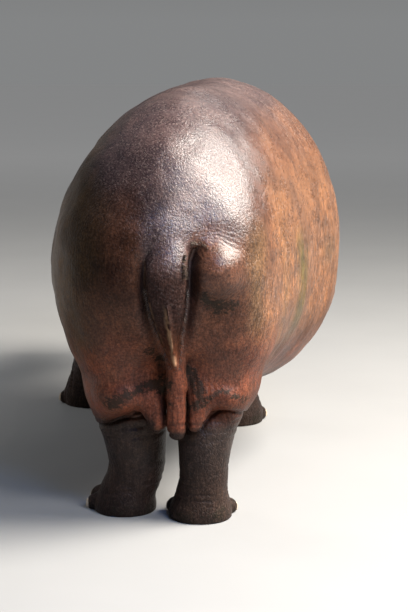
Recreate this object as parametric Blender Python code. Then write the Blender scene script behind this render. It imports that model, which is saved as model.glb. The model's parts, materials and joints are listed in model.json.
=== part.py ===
"""Common hippopotamus (Hippopotamus amphibius), life size, standing still with its tail down and
its head carried forward and low.

The body is one smooth solid, described as a distance field: lofts through short station tables
for the trunk, limbs, skull and jaw, with ellipsoids and tapered limbs blended into them. It is
skinned, thinned, and then parted by thin cuts into the pieces a person would name.

The shape is worked out in the animal's own frame: x to its right, y forward from the hind feet,
z up from the ground. The finished pieces are turned to face -Y, centred over the origin.
"""
import bpy
import bmesh
import numpy as np
from math import radians, sin, cos, tan, pi
from mathutils import Matrix, Vector

for old in list(bpy.data.objects):
    bpy.data.objects.remove(old, do_unlink=True)

GRID = 0.011            # cell size that the field is skinned with
TRIANGLES = 5000        # triangles kept over the whole body
GAP = 0.0004            # air between pieces that meet
SOLE = 0.002            # depth trimmed off under the feet, so that the soles are true planes
CENTRE = (0.060, 1.242)  # the animal's x and y that stand over the origin

# ---------------------------------------------------------------- shape algebra
def smin(a, b, k):
    """Union of two distances, with a fillet about k deep."""
    h = np.maximum(k - np.abs(a - b), 0.0) / k
    return np.minimum(a, b) - h * h * h * k / 6.0


def smax(a, b, k):
    return -smin(-a, -b, k)


def pchip(xs, ys):
    """Monotone cubic through stations: no overshoot between them."""
    xs, ys = np.asarray(xs, float), np.asarray(ys, float)
    h = np.diff(xs)
    s = np.diff(ys) / h
    m = np.zeros_like(ys)
    both = s[:-1] * s[1:] > 0
    w1, w2 = 2 * h[1:] + h[:-1], h[1:] + 2 * h[:-1]
    inner = np.zeros_like(s[:-1])
    inner[both] = (w1 + w2)[both] / (w1[both] / s[:-1][both] + w2[both] / s[1:][both])
    m[1:-1] = inner
    m[0], m[-1] = s[0], s[-1]

    def f(x):
        x = np.clip(x, xs[0], xs[-1])
        i = np.clip(np.searchsorted(xs, x) - 1, 0, len(h) - 1)
        t = (x - xs[i]) / h[i]
        t2, t3 = t * t, t * t * t
        return ((2 * t3 - 3 * t2 + 1) * ys[i] + (t3 - 2 * t2 + t) * h[i] * m[i]
                + (3 * t2 - 2 * t3) * ys[i + 1] + (t3 - t2) * h[i] * m[i + 1])
    return f


def ellipsoid(p, c, r, axes=None):
    q = p - np.asarray(c)
    if axes is not None:
        q = q @ axes
    r = np.asarray(r, float)
    k0 = np.sqrt(((q / r) ** 2).sum(1))
    k1 = np.sqrt(((q / (r * r)) ** 2).sum(1))
    return k0 * (k0 - 1.0) / np.maximum(k1, 1e-9)


def cone(p, a, b, ra, rb):
    """Round-ended tapered limb from a to b: the hull of two balls."""
    a, b = np.asarray(a, float), np.asarray(b, float)
    ba = b - a
    l2, rr = ba @ ba, ra - rb
    a2 = l2 - rr * rr
    pa = p - a
    y = pa @ ba
    z = y - l2
    x2 = ((pa * l2 - y[:, None] * ba) ** 2).sum(1)
    y2, z2 = y * y * l2, z * z * l2
    k = np.sign(rr) * rr * rr * x2
    d = (np.sqrt(x2 * a2 / l2) + y * rr) / l2 - ra
    d = np.where(np.sign(y) * a2 * y2 < k, np.sqrt(x2 + y2) / l2 - ra, d)
    return np.where(np.sign(z) * a2 * z2 > k, np.sqrt(x2 + z2) / l2 - rb, d)


def step(x, a, b):
    t = np.clip((x - a) / (b - a), 0, 1)
    return t * t * (3 - 2 * t)


def spline(xs, ys, flat=True):
    """Smooth cubic through stations. Its ends are level, or run on straight."""
    xs, ys = np.asarray(xs, float), np.asarray(ys, float)
    n = len(xs)
    h = np.diff(xs)
    s = np.diff(ys) / h
    A = np.zeros((n, n)); r = np.zeros(n)
    for i in range(1, n - 1):
        A[i, i - 1], A[i, i], A[i, i + 1] = h[i], 2 * (h[i - 1] + h[i]), h[i - 1]
        r[i] = 3 * (h[i] * s[i - 1] + h[i - 1] * s[i])
    A[0, 0] = A[-1, -1] = 1.0
    if not flat:
        A[0, 1], A[-1, -2] = 0.5, 0.5
        r[0], r[-1] = 1.5 * s[0], 1.5 * s[-1]
    m = np.linalg.solve(A, r)

    def f(x):
        c = np.clip(x, xs[0], xs[-1])
        i = np.clip(np.searchsorted(xs, c) - 1, 0, n - 2)
        t = (c - xs[i]) / h[i]
        t2, t3 = t * t, t * t * t
        y = ((2 * t3 - 3 * t2 + 1) * ys[i] + (t3 - 2 * t2 + t) * h[i] * m[i]
             + (3 * t2 - 2 * t3) * ys[i + 1] + (t3 - t2) * h[i] * m[i + 1])
        return y if flat else y + (x - c) * np.where(x < xs[0], m[0], m[-1])
    return f


def table(stations):
    """Columns of a station table as smooth functions of its first column. The first two, the
    centre line, run on straight beyond the table; the sizes stay level there."""
    c = np.array(stations, float).T
    return (c[0][0], c[0][-1]), [spline(c[0], col, flat=i > 1) for i, col in enumerate(c[1:])]


def loft(s, u, v, tab, caps, n_up=2.0, n_dn=2.0, shear=(0.0, 0.0), n_cap=(2.0, 2.0)):
    """Distance to a body swept along s. Its table gives, at each station, the centre line (uc),
    the level of its widest point (vc), its half width, and its reach above and below that level.
    caps are the lengths of the two rounded ends beyond the first and last stations."""
    (s0, s1), (uc, vc, w, up, dn) = tab
    dv = v - vc(s)
    hu, hd = up(s), dn(s)
    du = u - uc(s) - dv * (shear[1] + (shear[0] - shear[1]) * step(dv, -0.25, 0.25))
    h = np.where(dv > 0, hu, hd)
    n = n_dn + (n_up - n_dn) * step(dv / h, -0.4, 0.4)
    over = np.where(s < s0, s0 - s, np.where(s > s1, s - s1, 0.0))
    cap = np.where(s < s0, over / caps[0], over / caps[1])
    nc = np.where(s < s0, n_cap[0], n_cap[1])
    r2 = (np.abs(du / w(s)) ** n + np.abs(dv / h) ** n + 1e-12) ** (1.0 / n)
    r = (r2 ** nc + cap ** nc) ** (1.0 / nc)
    rad = np.sqrt(du * du + dv * dv + over * over)
    return rad * (1.0 - 1.0 / np.maximum(r, 1e-6))


def tube(p, pts, ru, rv, ref=(1, 0, 0), end=1.0):
    """Distance to a limb of oval section along a smooth line of points; ru is its half width along
    ref and rv its half thickness, each a function of the share of the length."""
    pts = np.asarray(pts, float)
    seg = np.diff(pts, axis=0)
    ln = np.sqrt((seg ** 2).sum(1))
    cum = np.concatenate([[0], np.cumsum(ln)])
    best = np.full(len(p), 1e9)
    bt = np.zeros(len(p))
    bi = np.zeros(len(p), int)
    for i in range(len(seg)):
        q = p - pts[i]
        t = (q @ seg[i]) / (ln[i] ** 2)
        tc = np.clip(t, 0, 1)
        d = ((q - tc[:, None] * seg[i]) ** 2).sum(1)
        m = d < best
        best[m] = d[m]
        bt[m] = tc[m]
        bi[m] = i
    share = (cum[bi] + bt * ln[bi]) / cum[-1]
    near = pts[bi] + bt[:, None] * seg[bi]
    q = p - near
    tan_ = seg[bi] / ln[bi][:, None]
    ref = np.asarray(ref, float)
    u = ref - tan_ * (tan_ @ ref)[:, None]
    u /= np.sqrt((u ** 2).sum(1))[:, None]
    v = np.cross(tan_, u)
    qu, qv, qt = (q * u).sum(1), (q * v).sum(1), (q * tan_).sum(1)
    a, b = ru(share), rv(share)
    c = np.minimum(a, b) * end
    r = np.sqrt((qu / a) ** 2 + (qv / b) ** 2 + (qt / c) ** 2)
    rad = np.sqrt(qu * qu + qv * qv + qt * qt)
    return rad * (1.0 - 1.0 / np.maximum(r, 1e-6)), share


def curve(points, n=14):
    """A smooth line through a few points, as n + 1 points."""
    points = np.asarray(points, float)
    k = np.linspace(0, 1, len(points))
    t = np.linspace(0, 1, n + 1)
    return np.stack([pchip(k, points[:, i])(t) for i in range(3)], 1)


def groove(s, width):
    """A soft valley across s = 0."""
    return np.exp(-(s / width) ** 2)


# ---------------------------------------------------------------- the animal, in its own frame:
# x to its right, y forward from the hind feet, z up from the ground, metres

# trunk: y, centre line x, level of widest point, half width, reach above, reach below
TRUNK = table([
    # y      xc     zm     w      up     down
    [0.40, 0.060, 0.885, 0.458, 0.625, 0.515],
    [0.78, 0.114, 0.862, 0.517, 0.657, 0.560],
    [1.12, 0.126, 0.858, 0.539, 0.655, 0.570],
    [1.46, 0.092, 0.875, 0.504, 0.605, 0.540],
])
TRUNK_CAPS = (0.78, 0.66)
LEAN = (tan(radians(3.8)), -tan(radians(2.3)))

# hind limb: z, centre x (outward), centre y, half width, reach forward, reach back
THIGH = table([
    [0.50, 0.174, 0.010, 0.148, 0.250, 0.240],
    [0.60, 0.186, 0.050, 0.180, 0.310, 0.298],
    [0.72, 0.197, 0.085, 0.202, 0.360, 0.370],
    [0.86, 0.197, 0.100, 0.200, 0.370, 0.425],
    [1.00, 0.185, 0.110, 0.188, 0.340, 0.425],
])
THIGH_CAPS = (0.135, 0.32)
SHANK = table([
    [-0.02, 0.111, 0.000, 0.110, 0.107, 0.127],
    [0.03, 0.111, 0.000, 0.112, 0.110, 0.132],
    [0.07, 0.113, -0.006, 0.099, 0.104, 0.121],
    [0.12, 0.117, -0.018, 0.087, 0.098, 0.106],
    [0.22, 0.122, -0.033, 0.088, 0.098, 0.102],
    [0.34, 0.133, -0.033, 0.104, 0.120, 0.110],
    [0.44, 0.142, -0.018, 0.116, 0.155, 0.118],
    [0.60, 0.160, 0.010, 0.140, 0.200, 0.140],
])
# fore limb: z, x and y from the foot's own place, half width, reach forward, reach back
FORELEG = table([
    [-0.02, 0.000, 0.000, 0.122, 0.110, 0.130],
    [0.035, 0.000, 0.000, 0.128, 0.118, 0.137],
    [0.09, 0.000, -0.012, 0.115, 0.112, 0.122],
    [0.15, 0.000, -0.025, 0.098, 0.102, 0.104],
    [0.23, 0.000, -0.030, 0.096, 0.103, 0.104],
    [0.34, 0.000, -0.022, 0.112, 0.122, 0.126],
    [0.46, 0.000, -0.005, 0.134, 0.150, 0.160],
    [0.62, 0.000, 0.000, 0.150, 0.190, 0.200],
    [0.85, 0.000, 0.000, 0.160, 0.210, 0.230],
])

SHANK_EXTRA = {"hind_right": 0.02, "hind_left": 0.20}
HEM = {"hind_right": (0.152, 0.392), "hind_left": (-0.112, 0.382)}
# where each foot stands: x, y, and the way its toes point (degrees, + to the right)
FEET = {
    "hind_right": (0.110, -0.050, 3.0),
    "hind_left": (-0.168, 0.045, -26.0),
    "front_right": (0.254, 1.500, 8.0),
    "front_left": (-0.400, 1.880, -24.0),
}
SHOULDER = {"front_right": (0.270, 1.640), "front_left": (-0.275, 1.680)}


def foot_frame(name):
    x, y, turn = FEET[name]
    a = radians(turn)
    return np.array([x, y, 0.0]), np.array([cos(a), -sin(a), 0.0]), np.array([sin(a), cos(a), 0.0])


TOE_ANGLES = (-64.0, -23.0, 23.0, 64.0)


def toes(name):
    """Start, tip and radii of each toe of a foot, in order from its left to its right."""
    c, right, fwd = foot_frame(name)
    front = name.startswith("front")
    out = []
    for i, deg in enumerate(TOE_ANGLES):
        a = radians(deg)
        inner = abs(deg) < 40
        reach = (0.158 if inner else 0.138) + (0.012 if front else 0.0)
        rad = (0.037 if inner else 0.031) + (0.003 if front else 0.0)
        d = right * sin(a) + fwd * cos(a)
        start = c + d * 0.055 + np.array([0, 0, rad + 0.012])
        tip = c + d * (reach - rad) + np.array([0, 0, rad - 0.006])
        out.append((start, tip, rad + 0.006, rad, d))
    return out


def hind_leg(p, name):
    side = 1.0 if name.endswith("right") else -1.0
    fx, fy, _ = FEET[name]
    q = p.copy()
    q[:, 0] = p[:, 0] * side
    tuck = 0.0 if side > 0 else 0.015
    thigh = loft(q[:, 2], q[:, 0] + tuck, q[:, 1], THIGH, THIGH_CAPS, 2.1, 2.1, (0.0, 0.0), (2.4, 2.0))
    # the skin's hem rises to an arch over the middle of the leg
    ax, az = HEM[name]
    thigh = thigh + 0.042 * np.exp(-((p[:, 0] - ax) / 0.055) ** 2 - ((p[:, 2] - az) / 0.050) ** 2)
    # the foot's place draws the shank after it
    low = step(p[:, 2], 0.19, 0.02)
    q = q.copy()
    q[:, 0] -= (fx * side - 0.113) * low
    wide = 1.0 + SHANK_EXTRA[name] * step(p[:, 2], 0.04, 0.12) * step(p[:, 2], 0.55, 0.35)
    q[:, 0] = 0.118 + (q[:, 0] - 0.118) / wide
    q[:, 1] -= fy * step(p[:, 2], 0.60, 0.10)
    shank = loft(q[:, 2], q[:, 0], q[:, 1], SHANK, (0.1, 0.1), 2.0, 2.1)
    return thigh, shank, q


def fore_leg(p, name):
    side = 1.0 if name.endswith("right") else -1.0
    fx, fy, _ = FEET[name]
    sx, sy = SHOULDER[name]
    high = step(p[:, 2], 0.10, 0.62)
    q = p.copy()
    q[:, 0] = (p[:, 0] - fx - (sx - fx) * high) * side
    q[:, 1] = p[:, 1] - fy - (sy - fy) * high
    return loft(q[:, 2], q[:, 0], q[:, 1], FORELEG, (0.1, 0.2), 2.0, 2.0), q


# head: its own frame starts at the poll, y along the muzzle
HEAD_AT = np.array([-0.075, 2.120, 0.945])
HEAD_YAW, HEAD_PITCH = radians(8.0), radians(20.0)


def head_axes():
    f = np.array([-sin(HEAD_YAW) * cos(HEAD_PITCH), cos(HEAD_YAW) * cos(HEAD_PITCH), -sin(HEAD_PITCH)])
    r = np.array([cos(HEAD_YAW), sin(HEAD_YAW), 0.0])
    return np.stack([r, f, np.cross(r, f)], 1)


HEAD_AXES = head_axes()


HEAD_SIZE = 1.13


def to_head(p):
    return (p - HEAD_AT) @ HEAD_AXES / HEAD_SIZE


def from_head(q):
    return np.asarray(q) @ HEAD_AXES.T * HEAD_SIZE + HEAD_AT


SKULL = table([
    # y      xc   zm      w      up     down
    [0.020, 0.0, 0.010, 0.205, 0.185, 0.175],
    [0.130, 0.0, 0.020, 0.210, 0.172, 0.170],
    [0.235, 0.0, 0.022, 0.184, 0.148, 0.158],
    [0.345, 0.0, 0.015, 0.164, 0.133, 0.146],
    [0.435, 0.0, 0.005, 0.178, 0.136, 0.142],
    [0.520, 0.0, -0.005, 0.212, 0.145, 0.142],
    [0.595, 0.0, -0.010, 0.228, 0.146, 0.140],
])
SKULL_CAPS = (0.20, 0.135)
JAW = table([
    [0.040, 0.0, -0.155, 0.190, 0.120, 0.180],
    [0.180, 0.0, -0.157, 0.173, 0.110, 0.160],
    [0.330, 0.0, -0.160, 0.150, 0.090, 0.138],
    [0.455, 0.0, -0.165, 0.166, 0.075, 0.126],
    [0.550, 0.0, -0.170, 0.188, 0.070, 0.118],
])
JAW_CAPS = (0.18, 0.120)
EYE_OUT = np.array([0.86, 0.26, 0.44]) / np.linalg.norm([0.86, 0.26, 0.44])
EYE_MOUND, EYE_MOUND_R = np.array([0.105, 0.142, 0.167]), np.array([0.056, 0.075, 0.052])
EYE_R = 0.0195
EYE = EYE_MOUND + EYE_OUT * (1.0 / np.linalg.norm(EYE_OUT / EYE_MOUND_R) - 0.0105)


def axes_about(out, up):
    """Three perpendicular directions as columns: out, across, and near up."""
    out = np.asarray(out, float) / np.linalg.norm(out)
    up = np.asarray(up, float) - out * np.dot(up, out)
    up /= np.linalg.norm(up)
    return np.stack([out, np.cross(up, out), up], 1)


EYE_AXES = axes_about(EYE_OUT, (-0.2, 0.12, 1.0))


def mirror(q):
    m = q.copy()
    m[:, 0] = np.abs(m[:, 0])
    return m


def skull(q):
    """Upper head, without ears, in the head frame."""
    m = mirror(q)
    d = loft(q[:, 1], q[:, 0], q[:, 2], SKULL, SKULL_CAPS, 2.3, 2.4)
    # cheek and chewing muscle
    d = smin(d, ellipsoid(m, (0.116, 0.070, -0.085), (0.092, 0.155, 0.165)), 0.06)
    # lip pads that widen the snout
    d = smin(d, ellipsoid(m, (0.126, 0.585, -0.022), (0.100, 0.112, 0.114)), 0.05)
    # mounds of the nostrils
    d = smin(d, ellipsoid(m, (0.084, 0.608, 0.120), (0.056, 0.070, 0.047)), 0.05)
    # brow ridge and the mound that carries the eye
    d = smin(d, ellipsoid(m, EYE_MOUND, EYE_MOUND_R), 0.05)
    # lids: a thick ring round the eyeball, slit open
    lid = np.sqrt(((m - EYE) ** 2).sum(1)) - (EYE_R + 0.0075)
    d = smin(d, lid, 0.014)
    d = smax(d, -ellipsoid(m, EYE + EYE_OUT * 0.020, (0.0215, 0.0180, 0.0115), EYE_AXES), 0.004)
    return d


def jaw(q):
    d = loft(q[:, 1], q[:, 0], q[:, 2], JAW, JAW_CAPS, 2.3, 2.3)
    return d


EAR_BASE = np.array([0.112, 0.015, 0.150])
EAR_AXES = axes_about((0.50, -0.22, 0.84), (0.55, 0.80, -0.10))   # along the ear, across it, and the way its cup opens


def ear(q):
    m = mirror(q)
    axis, face = EAR_AXES[:, 0], EAR_AXES[:, 2]
    ax = EAR_AXES[:, [1, 2, 0]]
    outer = ellipsoid(m, EAR_BASE + axis * 0.075, (0.044, 0.026, 0.058), ax)
    inner = ellipsoid(m, EAR_BASE + axis * 0.083 + face * 0.016, (0.032, 0.019, 0.044), ax)
    d = smax(outer, -inner, 0.008)
    return smin(d, cone(m, EAR_BASE, EAR_BASE + axis * 0.045, 0.034, 0.026), 0.02)


def head(p):
    q = to_head(p)
    d = smin(skull(q), jaw(q), 0.014)
    d = smin(d, ear(q), 0.02)
    m = mirror(q)
    # nostril slits
    ax_n = np.array([0.55, 0.80, 0.0]); ax_n /= np.linalg.norm(ax_n)
    up_n = np.array([0.0, 0.25, 0.97]); up_n -= ax_n * (up_n @ ax_n); up_n /= np.linalg.norm(up_n)
    fr = np.stack([ax_n, np.cross(up_n, ax_n), up_n], 1)
    d = smax(d, -ellipsoid(m, (0.085, 0.624, 0.167), (0.034, 0.011, 0.030), fr), 0.012)
    return d * HEAD_SIZE


TAIL = curve([(-0.004, -0.14, 1.15), (-0.002, -0.27, 1.07), (-0.004, -0.345, 0.98), (-0.007, -0.375, 0.90),
              (-0.003, -0.372, 0.82), (0.004, -0.350, 0.73), (0.013, -0.335, 0.655), (0.022, -0.325, 0.590)], 36)
TAIL_W = pchip([0, 0.2, 0.42, 0.55, 0.68, 0.82, 0.92, 1.0], [0.090, 0.084, 0.074, 0.070, 0.058, 0.038, 0.024, 0.010])
TAIL_T = pchip([0, 0.2, 0.42, 0.55, 0.68, 0.82, 0.92, 1.0], [0.070, 0.058, 0.044, 0.038, 0.033, 0.025, 0.018, 0.010])
# creases seen from behind: x, z and depth
CREASE_RIGHT = ((0.130, 1.006, 0.000), (0.108, 1.001, 0.009), (0.088, 0.988, 0.024), (0.074, 0.955, 0.036), (0.071, 0.870, 0.034),
                (0.066, 0.790, 0.026), (0.053, 0.700, 0.020), (0.043, 0.630, 0.014), (0.038, 0.560, 0.010))
CREASE_LEFT = ((-0.060, 1.000, 0.004), (-0.080, 0.950, 0.020), (-0.083, 0.880, 0.022), (-0.072, 0.800, 0.022),
               (-0.052, 0.720, 0.020), (-0.030, 0.640, 0.016), (-0.015, 0.560, 0.014))
CLEFT = ((0.014, 0.640, 0.000), (0.018, 0.580, 0.014), (0.022, 0.500, 0.026), (0.024, 0.400, 0.040), (0.024, 0.300, 0.040))
LOBE = curve([(0.018, -0.245, 0.68), (0.022, -0.240, 0.58), (0.026, -0.222, 0.47), (0.026, -0.210, 0.350)], 8)
LOBE_R = pchip([0, 0.45, 0.8, 1], [0.040, 0.038, 0.037, 0.034])


SIT_BONES = (((0.158, -0.305, 0.918), (0.090, 0.080, 0.098)), ((-0.150, -0.305, 0.915), (0.085, 0.070, 0.095)))
KEEL = ((-0.002, 0.830, 0.0), (0.000, 0.795, 1.0), (0.008, 0.730, 1.0), (0.016, 0.660, 1.0), (0.023, 0.600, 0.8))


def crest(u, v, pts, width):
    return crease(u, v, pts, width)


def crease(u, v, pts, width):
    """How deep a soft valley along a bent line is at each (u, v)."""
    pts = np.asarray(pts, float)
    best = np.full(len(u), 1e9)
    deep = np.zeros(len(u))
    for a, b in zip(pts[:-1], pts[1:]):
        e = b[:2] - a[:2]
        t = np.clip(((u - a[0]) * e[0] + (v - a[1]) * e[1]) / (e @ e), 0, 1)
        d = np.hypot(u - a[0] - t * e[0], v - a[1] - t * e[1])
        m = d < best
        best[m] = d[m]
        deep[m] = (a[2] + (b[2] - a[2]) * t)[m]
    return deep * np.exp(-(best / width) ** 2)


def near(p, lo, hi, fn):
    """A part's distance inside its own box of space, and simply far outside it."""
    m = ((p > np.asarray(lo)) & (p < np.asarray(hi))).all(1)
    out = np.full(len(p), 1.0)
    if m.any():
        out[m] = fn(p[m])
    return out


def patch(p, lo, hi, d, fn):
    """Changes a distance only inside a box of space."""
    m = ((p > np.asarray(lo)) & (p < np.asarray(hi))).all(1)
    if m.any():
        d = d.copy()
        d[m] = fn(p[m], d[m])
    return d


def shoulders(p):
    d = np.full(len(p), 1.0)
    for name in ("front_right", "front_left"):
        sx, sy = SHOULDER[name]
        d = smin(d, ellipsoid(p, (sx * 0.84 + 0.02, sy - 0.06, 0.82), (0.185, 0.37, 0.42)), 0.05)
    return d


def neck(p):
    d = ellipsoid(p, (0.01, 1.72, 0.92), (0.35, 0.56, 0.45))
    return smin(d, cone(p, (-0.02, 1.80, 0.92), from_head((0, 0.05, -0.085)), 0.40, 0.240), 0.16)


def hindquarters(p, d):
    """Thighs, sit bones, folds of skin, tail and shanks, from behind forwards."""
    z = p[:, 2]
    limbs = {name: hind_leg(p, name) for name in ("hind_right", "hind_left")}
    for thigh, shank, q in limbs.values():
        d = smin(d, thigh, 0.09 + 0.05 * step(z, 0.62, 0.95))
    # sit bones beside the tail
    for at, size in SIT_BONES:
        d = smin(d, ellipsoid(p, at, size), 0.06)
    # flank folds
    d = smin(d, cone(p, (0.275, 0.18, 0.52), (0.42, 0.52, 0.66), 0.055, 0.05), 0.06)
    d = smin(d, cone(p, (-0.265, 0.18, 0.52), (-0.34, 0.52, 0.66), 0.055, 0.05), 0.06)
    # folds between the thighs
    d = smin(d, ellipsoid(p, (0.022, -0.128, 0.540), (0.078, 0.100, 0.165)), 0.05)
    d = smin(d, cone(p, (-0.080, -0.135, 0.520), (-0.038, -0.175, 0.376), 0.072, 0.047), 0.045)
    d = smin(d, cone(p, (0.122, -0.150, 0.520), (0.082, -0.196, 0.379), 0.068, 0.041), 0.045)

    def rump(p, d):
        rear = step(p[:, 1], 0.05, -0.12)
        x, z = p[:, 0], p[:, 2]
        d = d + rear * (crease(x, z, CREASE_RIGHT, 0.022) + crease(x, z, CREASE_LEFT, 0.024)
                        + crease(x, z, CLEFT, 0.036))
        # tail, which grows out of the rump without a step
        t, share = tube(p, TAIL, TAIL_W, TAIL_T)
        t = t - 0.011 * step(p[:, 1], -0.30, -0.36) * crease(x, z, KEEL, 0.010)
        d = smin(d, t, 0.010 + 0.10 * step(share, 0.42, 0.05))
        l, sh = tube(p, LOBE, LOBE_R, LOBE_R)
        return smin(d, l, 0.014 + 0.05 * step(sh, 0.45, 0.0))

    d = patch(p, (-0.25, -0.7, 0.10), (0.30, 0.10, 1.35), d, rump)
    for name, (thigh, shank, q) in limbs.items():
        q0 = p[:, 0] * (1.0 if name.endswith("right") else -1.0)
        d = smin(d, shank, 0.022 + 0.075 * step(q0, 0.14, 0.24))
    return d


def body(p):
    """The whole animal but eyes and nails."""
    y, z = p[:, 1], p[:, 2]
    d = loft(y, p[:, 0], z, TRUNK, TRUNK_CAPS, 1.88, 2.2, LEAN, (2.2, 2.5))
    d = smin(d, near(p, (-2, 0.95, 0.1), (2, 2.4, 1.6), shoulders), 0.18)
    d = smin(d, near(p, (-2, 0.95, 0.2), (2, 2.8, 1.7), neck), 0.18)
    d = patch(p, (-1, -1, -1), (1, 0.95, 1.60), d, hindquarters)
    for name in ("front_right", "front_left"):
        fx, fy, _ = FEET[name]
        d = smin(d, near(p, (fx - 0.45, fy - 0.75, -0.2), (fx + 0.45, fy + 0.55, 1.3),
                         lambda p: fore_leg(p, name)[0]), 0.05)
    for name in FEET:
        fx, fy, _ = FEET[name]
        for a, b, ra, rb, _ in toes(name):
            d = smin(d, near(p, (fx - 0.26, fy - 0.2, -0.1), (fx + 0.26, fy + 0.3, 0.2),
                             lambda p: cone(p, a, b, ra, rb)), 0.014)
    d = smin(d, near(p, (-0.7, 1.85, 0.2), (0.5, 3.4, 1.6), head), 0.05)
    # soles
    return smax(d, -z, 0.006)

# ---------------------------------------------------------------- skinning a field
def cells_near(field, lo, hi, h, levels):
    """Integer cells of size h that may hold the surface, found from coarse to fine."""
    big = h * 2 ** levels
    n = np.ceil((np.asarray(hi) - lo) / big).astype(int)
    g = np.stack(np.meshgrid(*[np.arange(k) for k in n], indexing="ij"), -1).reshape(-1, 3)
    size = big
    for level in range(levels + 1):
        d = field(lo + (g + 0.5) * size)
        g = g[np.abs(d) < size * (1.9 if level == levels else 1.5)]
        if level < levels:
            o = np.stack(np.meshgrid([0, 1], [0, 1], [0, 1], indexing="ij"), -1).reshape(-1, 3)
            g = (g[:, None, :] * 2 + o[None]).reshape(-1, 3)
            size /= 2
    return g


def pieces(nodes, adj):
    """How many separate groups a few corners make."""
    left, count = set(nodes), 0
    while left:
        todo, count = [left.pop()], count + 1
        while todo:
            a = todo.pop()
            for b in [b for b in left if adj[a, b]]:
                left.remove(b)
                todo.append(b)
    return count


def surface(field, lo, hi, h, levels=3, steps=3):
    """Closed quad mesh of field = 0: one point in each crossed cell, one face on each crossed edge."""
    lo = np.asarray(lo, float)
    g = cells_near(field, lo, hi, h, levels)
    n = g.max(0) + 3
    key = lambda a: (a[..., 0] * n[1] + a[..., 1]) * n[2] + a[..., 2]
    o = np.stack(np.meshgrid([0, 1], [0, 1], [0, 1], indexing="ij"), -1).reshape(-1, 3)
    ck = key(g[:, None, :] + o[None])
    corners, inv = np.unique(ck.reshape(-1), return_inverse=True)
    inv = inv.reshape(-1, 8)
    ci = np.stack([corners // (n[1] * n[2]), corners // n[2] % n[1], corners % n[2]], -1)
    val = field(lo + ci * h)
    # a cell whose inside or outside corners don't hang together would pinch the surface
    adj = np.array([[np.abs(a - b).sum() == 1 for b in o] for a in o])
    pinched = np.array([pieces([i for i in range(8) if m >> i & 1], adj) > 1
                        or pieces([i for i in range(8) if not m >> i & 1], adj) > 1 for m in range(256)])
    sides = [[i for i in range(8) if o[i][a] == b] for a in range(3) for b in (0, 1)]
    for m in range(256):
        for f4 in sides:
            on = [i for i in f4 if m >> i & 1]
            if len(on) == 2 and not adj[on[0], on[1]]:
                pinched[m] = True
    bits = 1 << np.arange(8)
    for _ in range(60):
        bad = pinched[((val[inv] < 0) * bits).sum(1)]
        if not bad.any():
            break
        # fill in the corner that is outside by least
        c8 = inv[bad]
        out = np.where(val[c8] < 0, 1e9, val[c8])
        val[c8[np.arange(len(c8)), out.argmin(1)]] = -1e-6
    inside = val < 0
    cin = inside[inv]
    mixed = cin.any(1) & ~cin.all(1)
    g, inv = g[mixed], inv[mixed]
    cellkey = key(g)
    order = np.argsort(cellkey)
    g, inv, cellkey = g[order], inv[order], cellkey[order]
    # cell points: mean of the crossings on the 12 edges
    pairs = [(a, b) for a in range(8) for b in range(a + 1, 8) if np.abs(o[a] - o[b]).sum() == 1]
    total = np.zeros((len(g), 3)); count = np.zeros(len(g))
    for a, b in pairs:
        va, vb = val[inv[:, a]], val[inv[:, b]]
        m = (va < 0) != (vb < 0)
        t = va[m] / (va[m] - vb[m])
        total[m] += o[a] + t[:, None] * (o[b] - o[a])
        count[m] += 1
    v = lo + (g + total / count[:, None]) * h
    faces = []
    for ax in range(3):
        e = np.zeros(3, int); e[ax] = 1
        b, c = np.eye(3, dtype=int)[(ax + 1) % 3], np.eye(3, dtype=int)[(ax + 2) % 3]
        k0 = corners
        k1 = key(ci + e)
        pos = np.searchsorted(corners, k1)
        ok = (pos < len(corners)) & (corners[np.minimum(pos, len(corners) - 1)] == k1)
        s0, s1 = inside, np.zeros_like(inside)
        s1[ok] = inside[pos[ok]]
        cross = ok & (s0 != s1)
        at = ci[cross]
        quad = [at - b - c, at - c, at, at - b]
        idx = []
        good = np.ones(len(at), bool)
        for qd in quad:
            kk = key(qd)
            ps = np.searchsorted(cellkey, kk)
            ps = np.minimum(ps, len(cellkey) - 1)
            good &= (cellkey[ps] == kk) & (qd >= 0).all(1)
            idx.append(ps)
        q = np.stack(idx, 1)
        flip = ~s0[cross]
        q[flip] = q[flip][:, ::-1]
        if not good.all():
            print("missing cells", (~good).sum())
        faces.append(q[good])
    f = np.concatenate(faces)
    for _ in range(steps):
        v = settle(field, v, h)
    return v, f


def gradient(field, v, e):
    g = np.stack([field(v + np.eye(3)[i] * e) - field(v - np.eye(3)[i] * e) for i in range(3)], 1) / (2 * e)
    return g


def settle(field, v, h):
    """Moves points onto the surface along its slope."""
    d = field(v)
    g = gradient(field, v, h * 0.2)
    move = (d / np.maximum((g * g).sum(1), 0.05))[:, None] * g
    ln = np.sqrt((move ** 2).sum(1))[:, None]
    return v - move * np.minimum(1, h * 0.5 / np.maximum(ln, 1e-12))

# ---------------------------------------------------------------- Blender side
TURN = Matrix(((-1, 0, 0, CENTRE[0]), (0, -1, 0, CENTRE[1]), (0, 0, 1, -SOLE), (0, 0, 0, 1)))


def material(name, color, rough):
    m = bpy.data.materials.new(name)
    m.use_nodes = True
    b = m.node_tree.nodes["Principled BSDF"]
    b.inputs["Base Color"].default_value = (*color, 1)
    b.inputs["Roughness"].default_value = rough
    b.inputs["Metallic"].default_value = 0.0
    return m


def mesh_object(name, verts, faces):
    me = bpy.data.meshes.new(name)
    me.from_pydata([tuple(v) for v in verts], [], [tuple(int(i) for i in f) for f in faces])
    me.update()
    ob = bpy.data.objects.new(name, me)
    bpy.context.scene.collection.objects.link(ob)
    return ob


def applied(ob):
    """Bakes an object's modifiers into its mesh."""
    bpy.context.view_layer.update()
    deps = bpy.context.evaluated_depsgraph_get()
    me = bpy.data.meshes.new_from_object(ob.evaluated_get(deps))
    ob.modifiers.clear()
    old = ob.data
    ob.data = me
    bpy.data.meshes.remove(old)
    return ob


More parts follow.
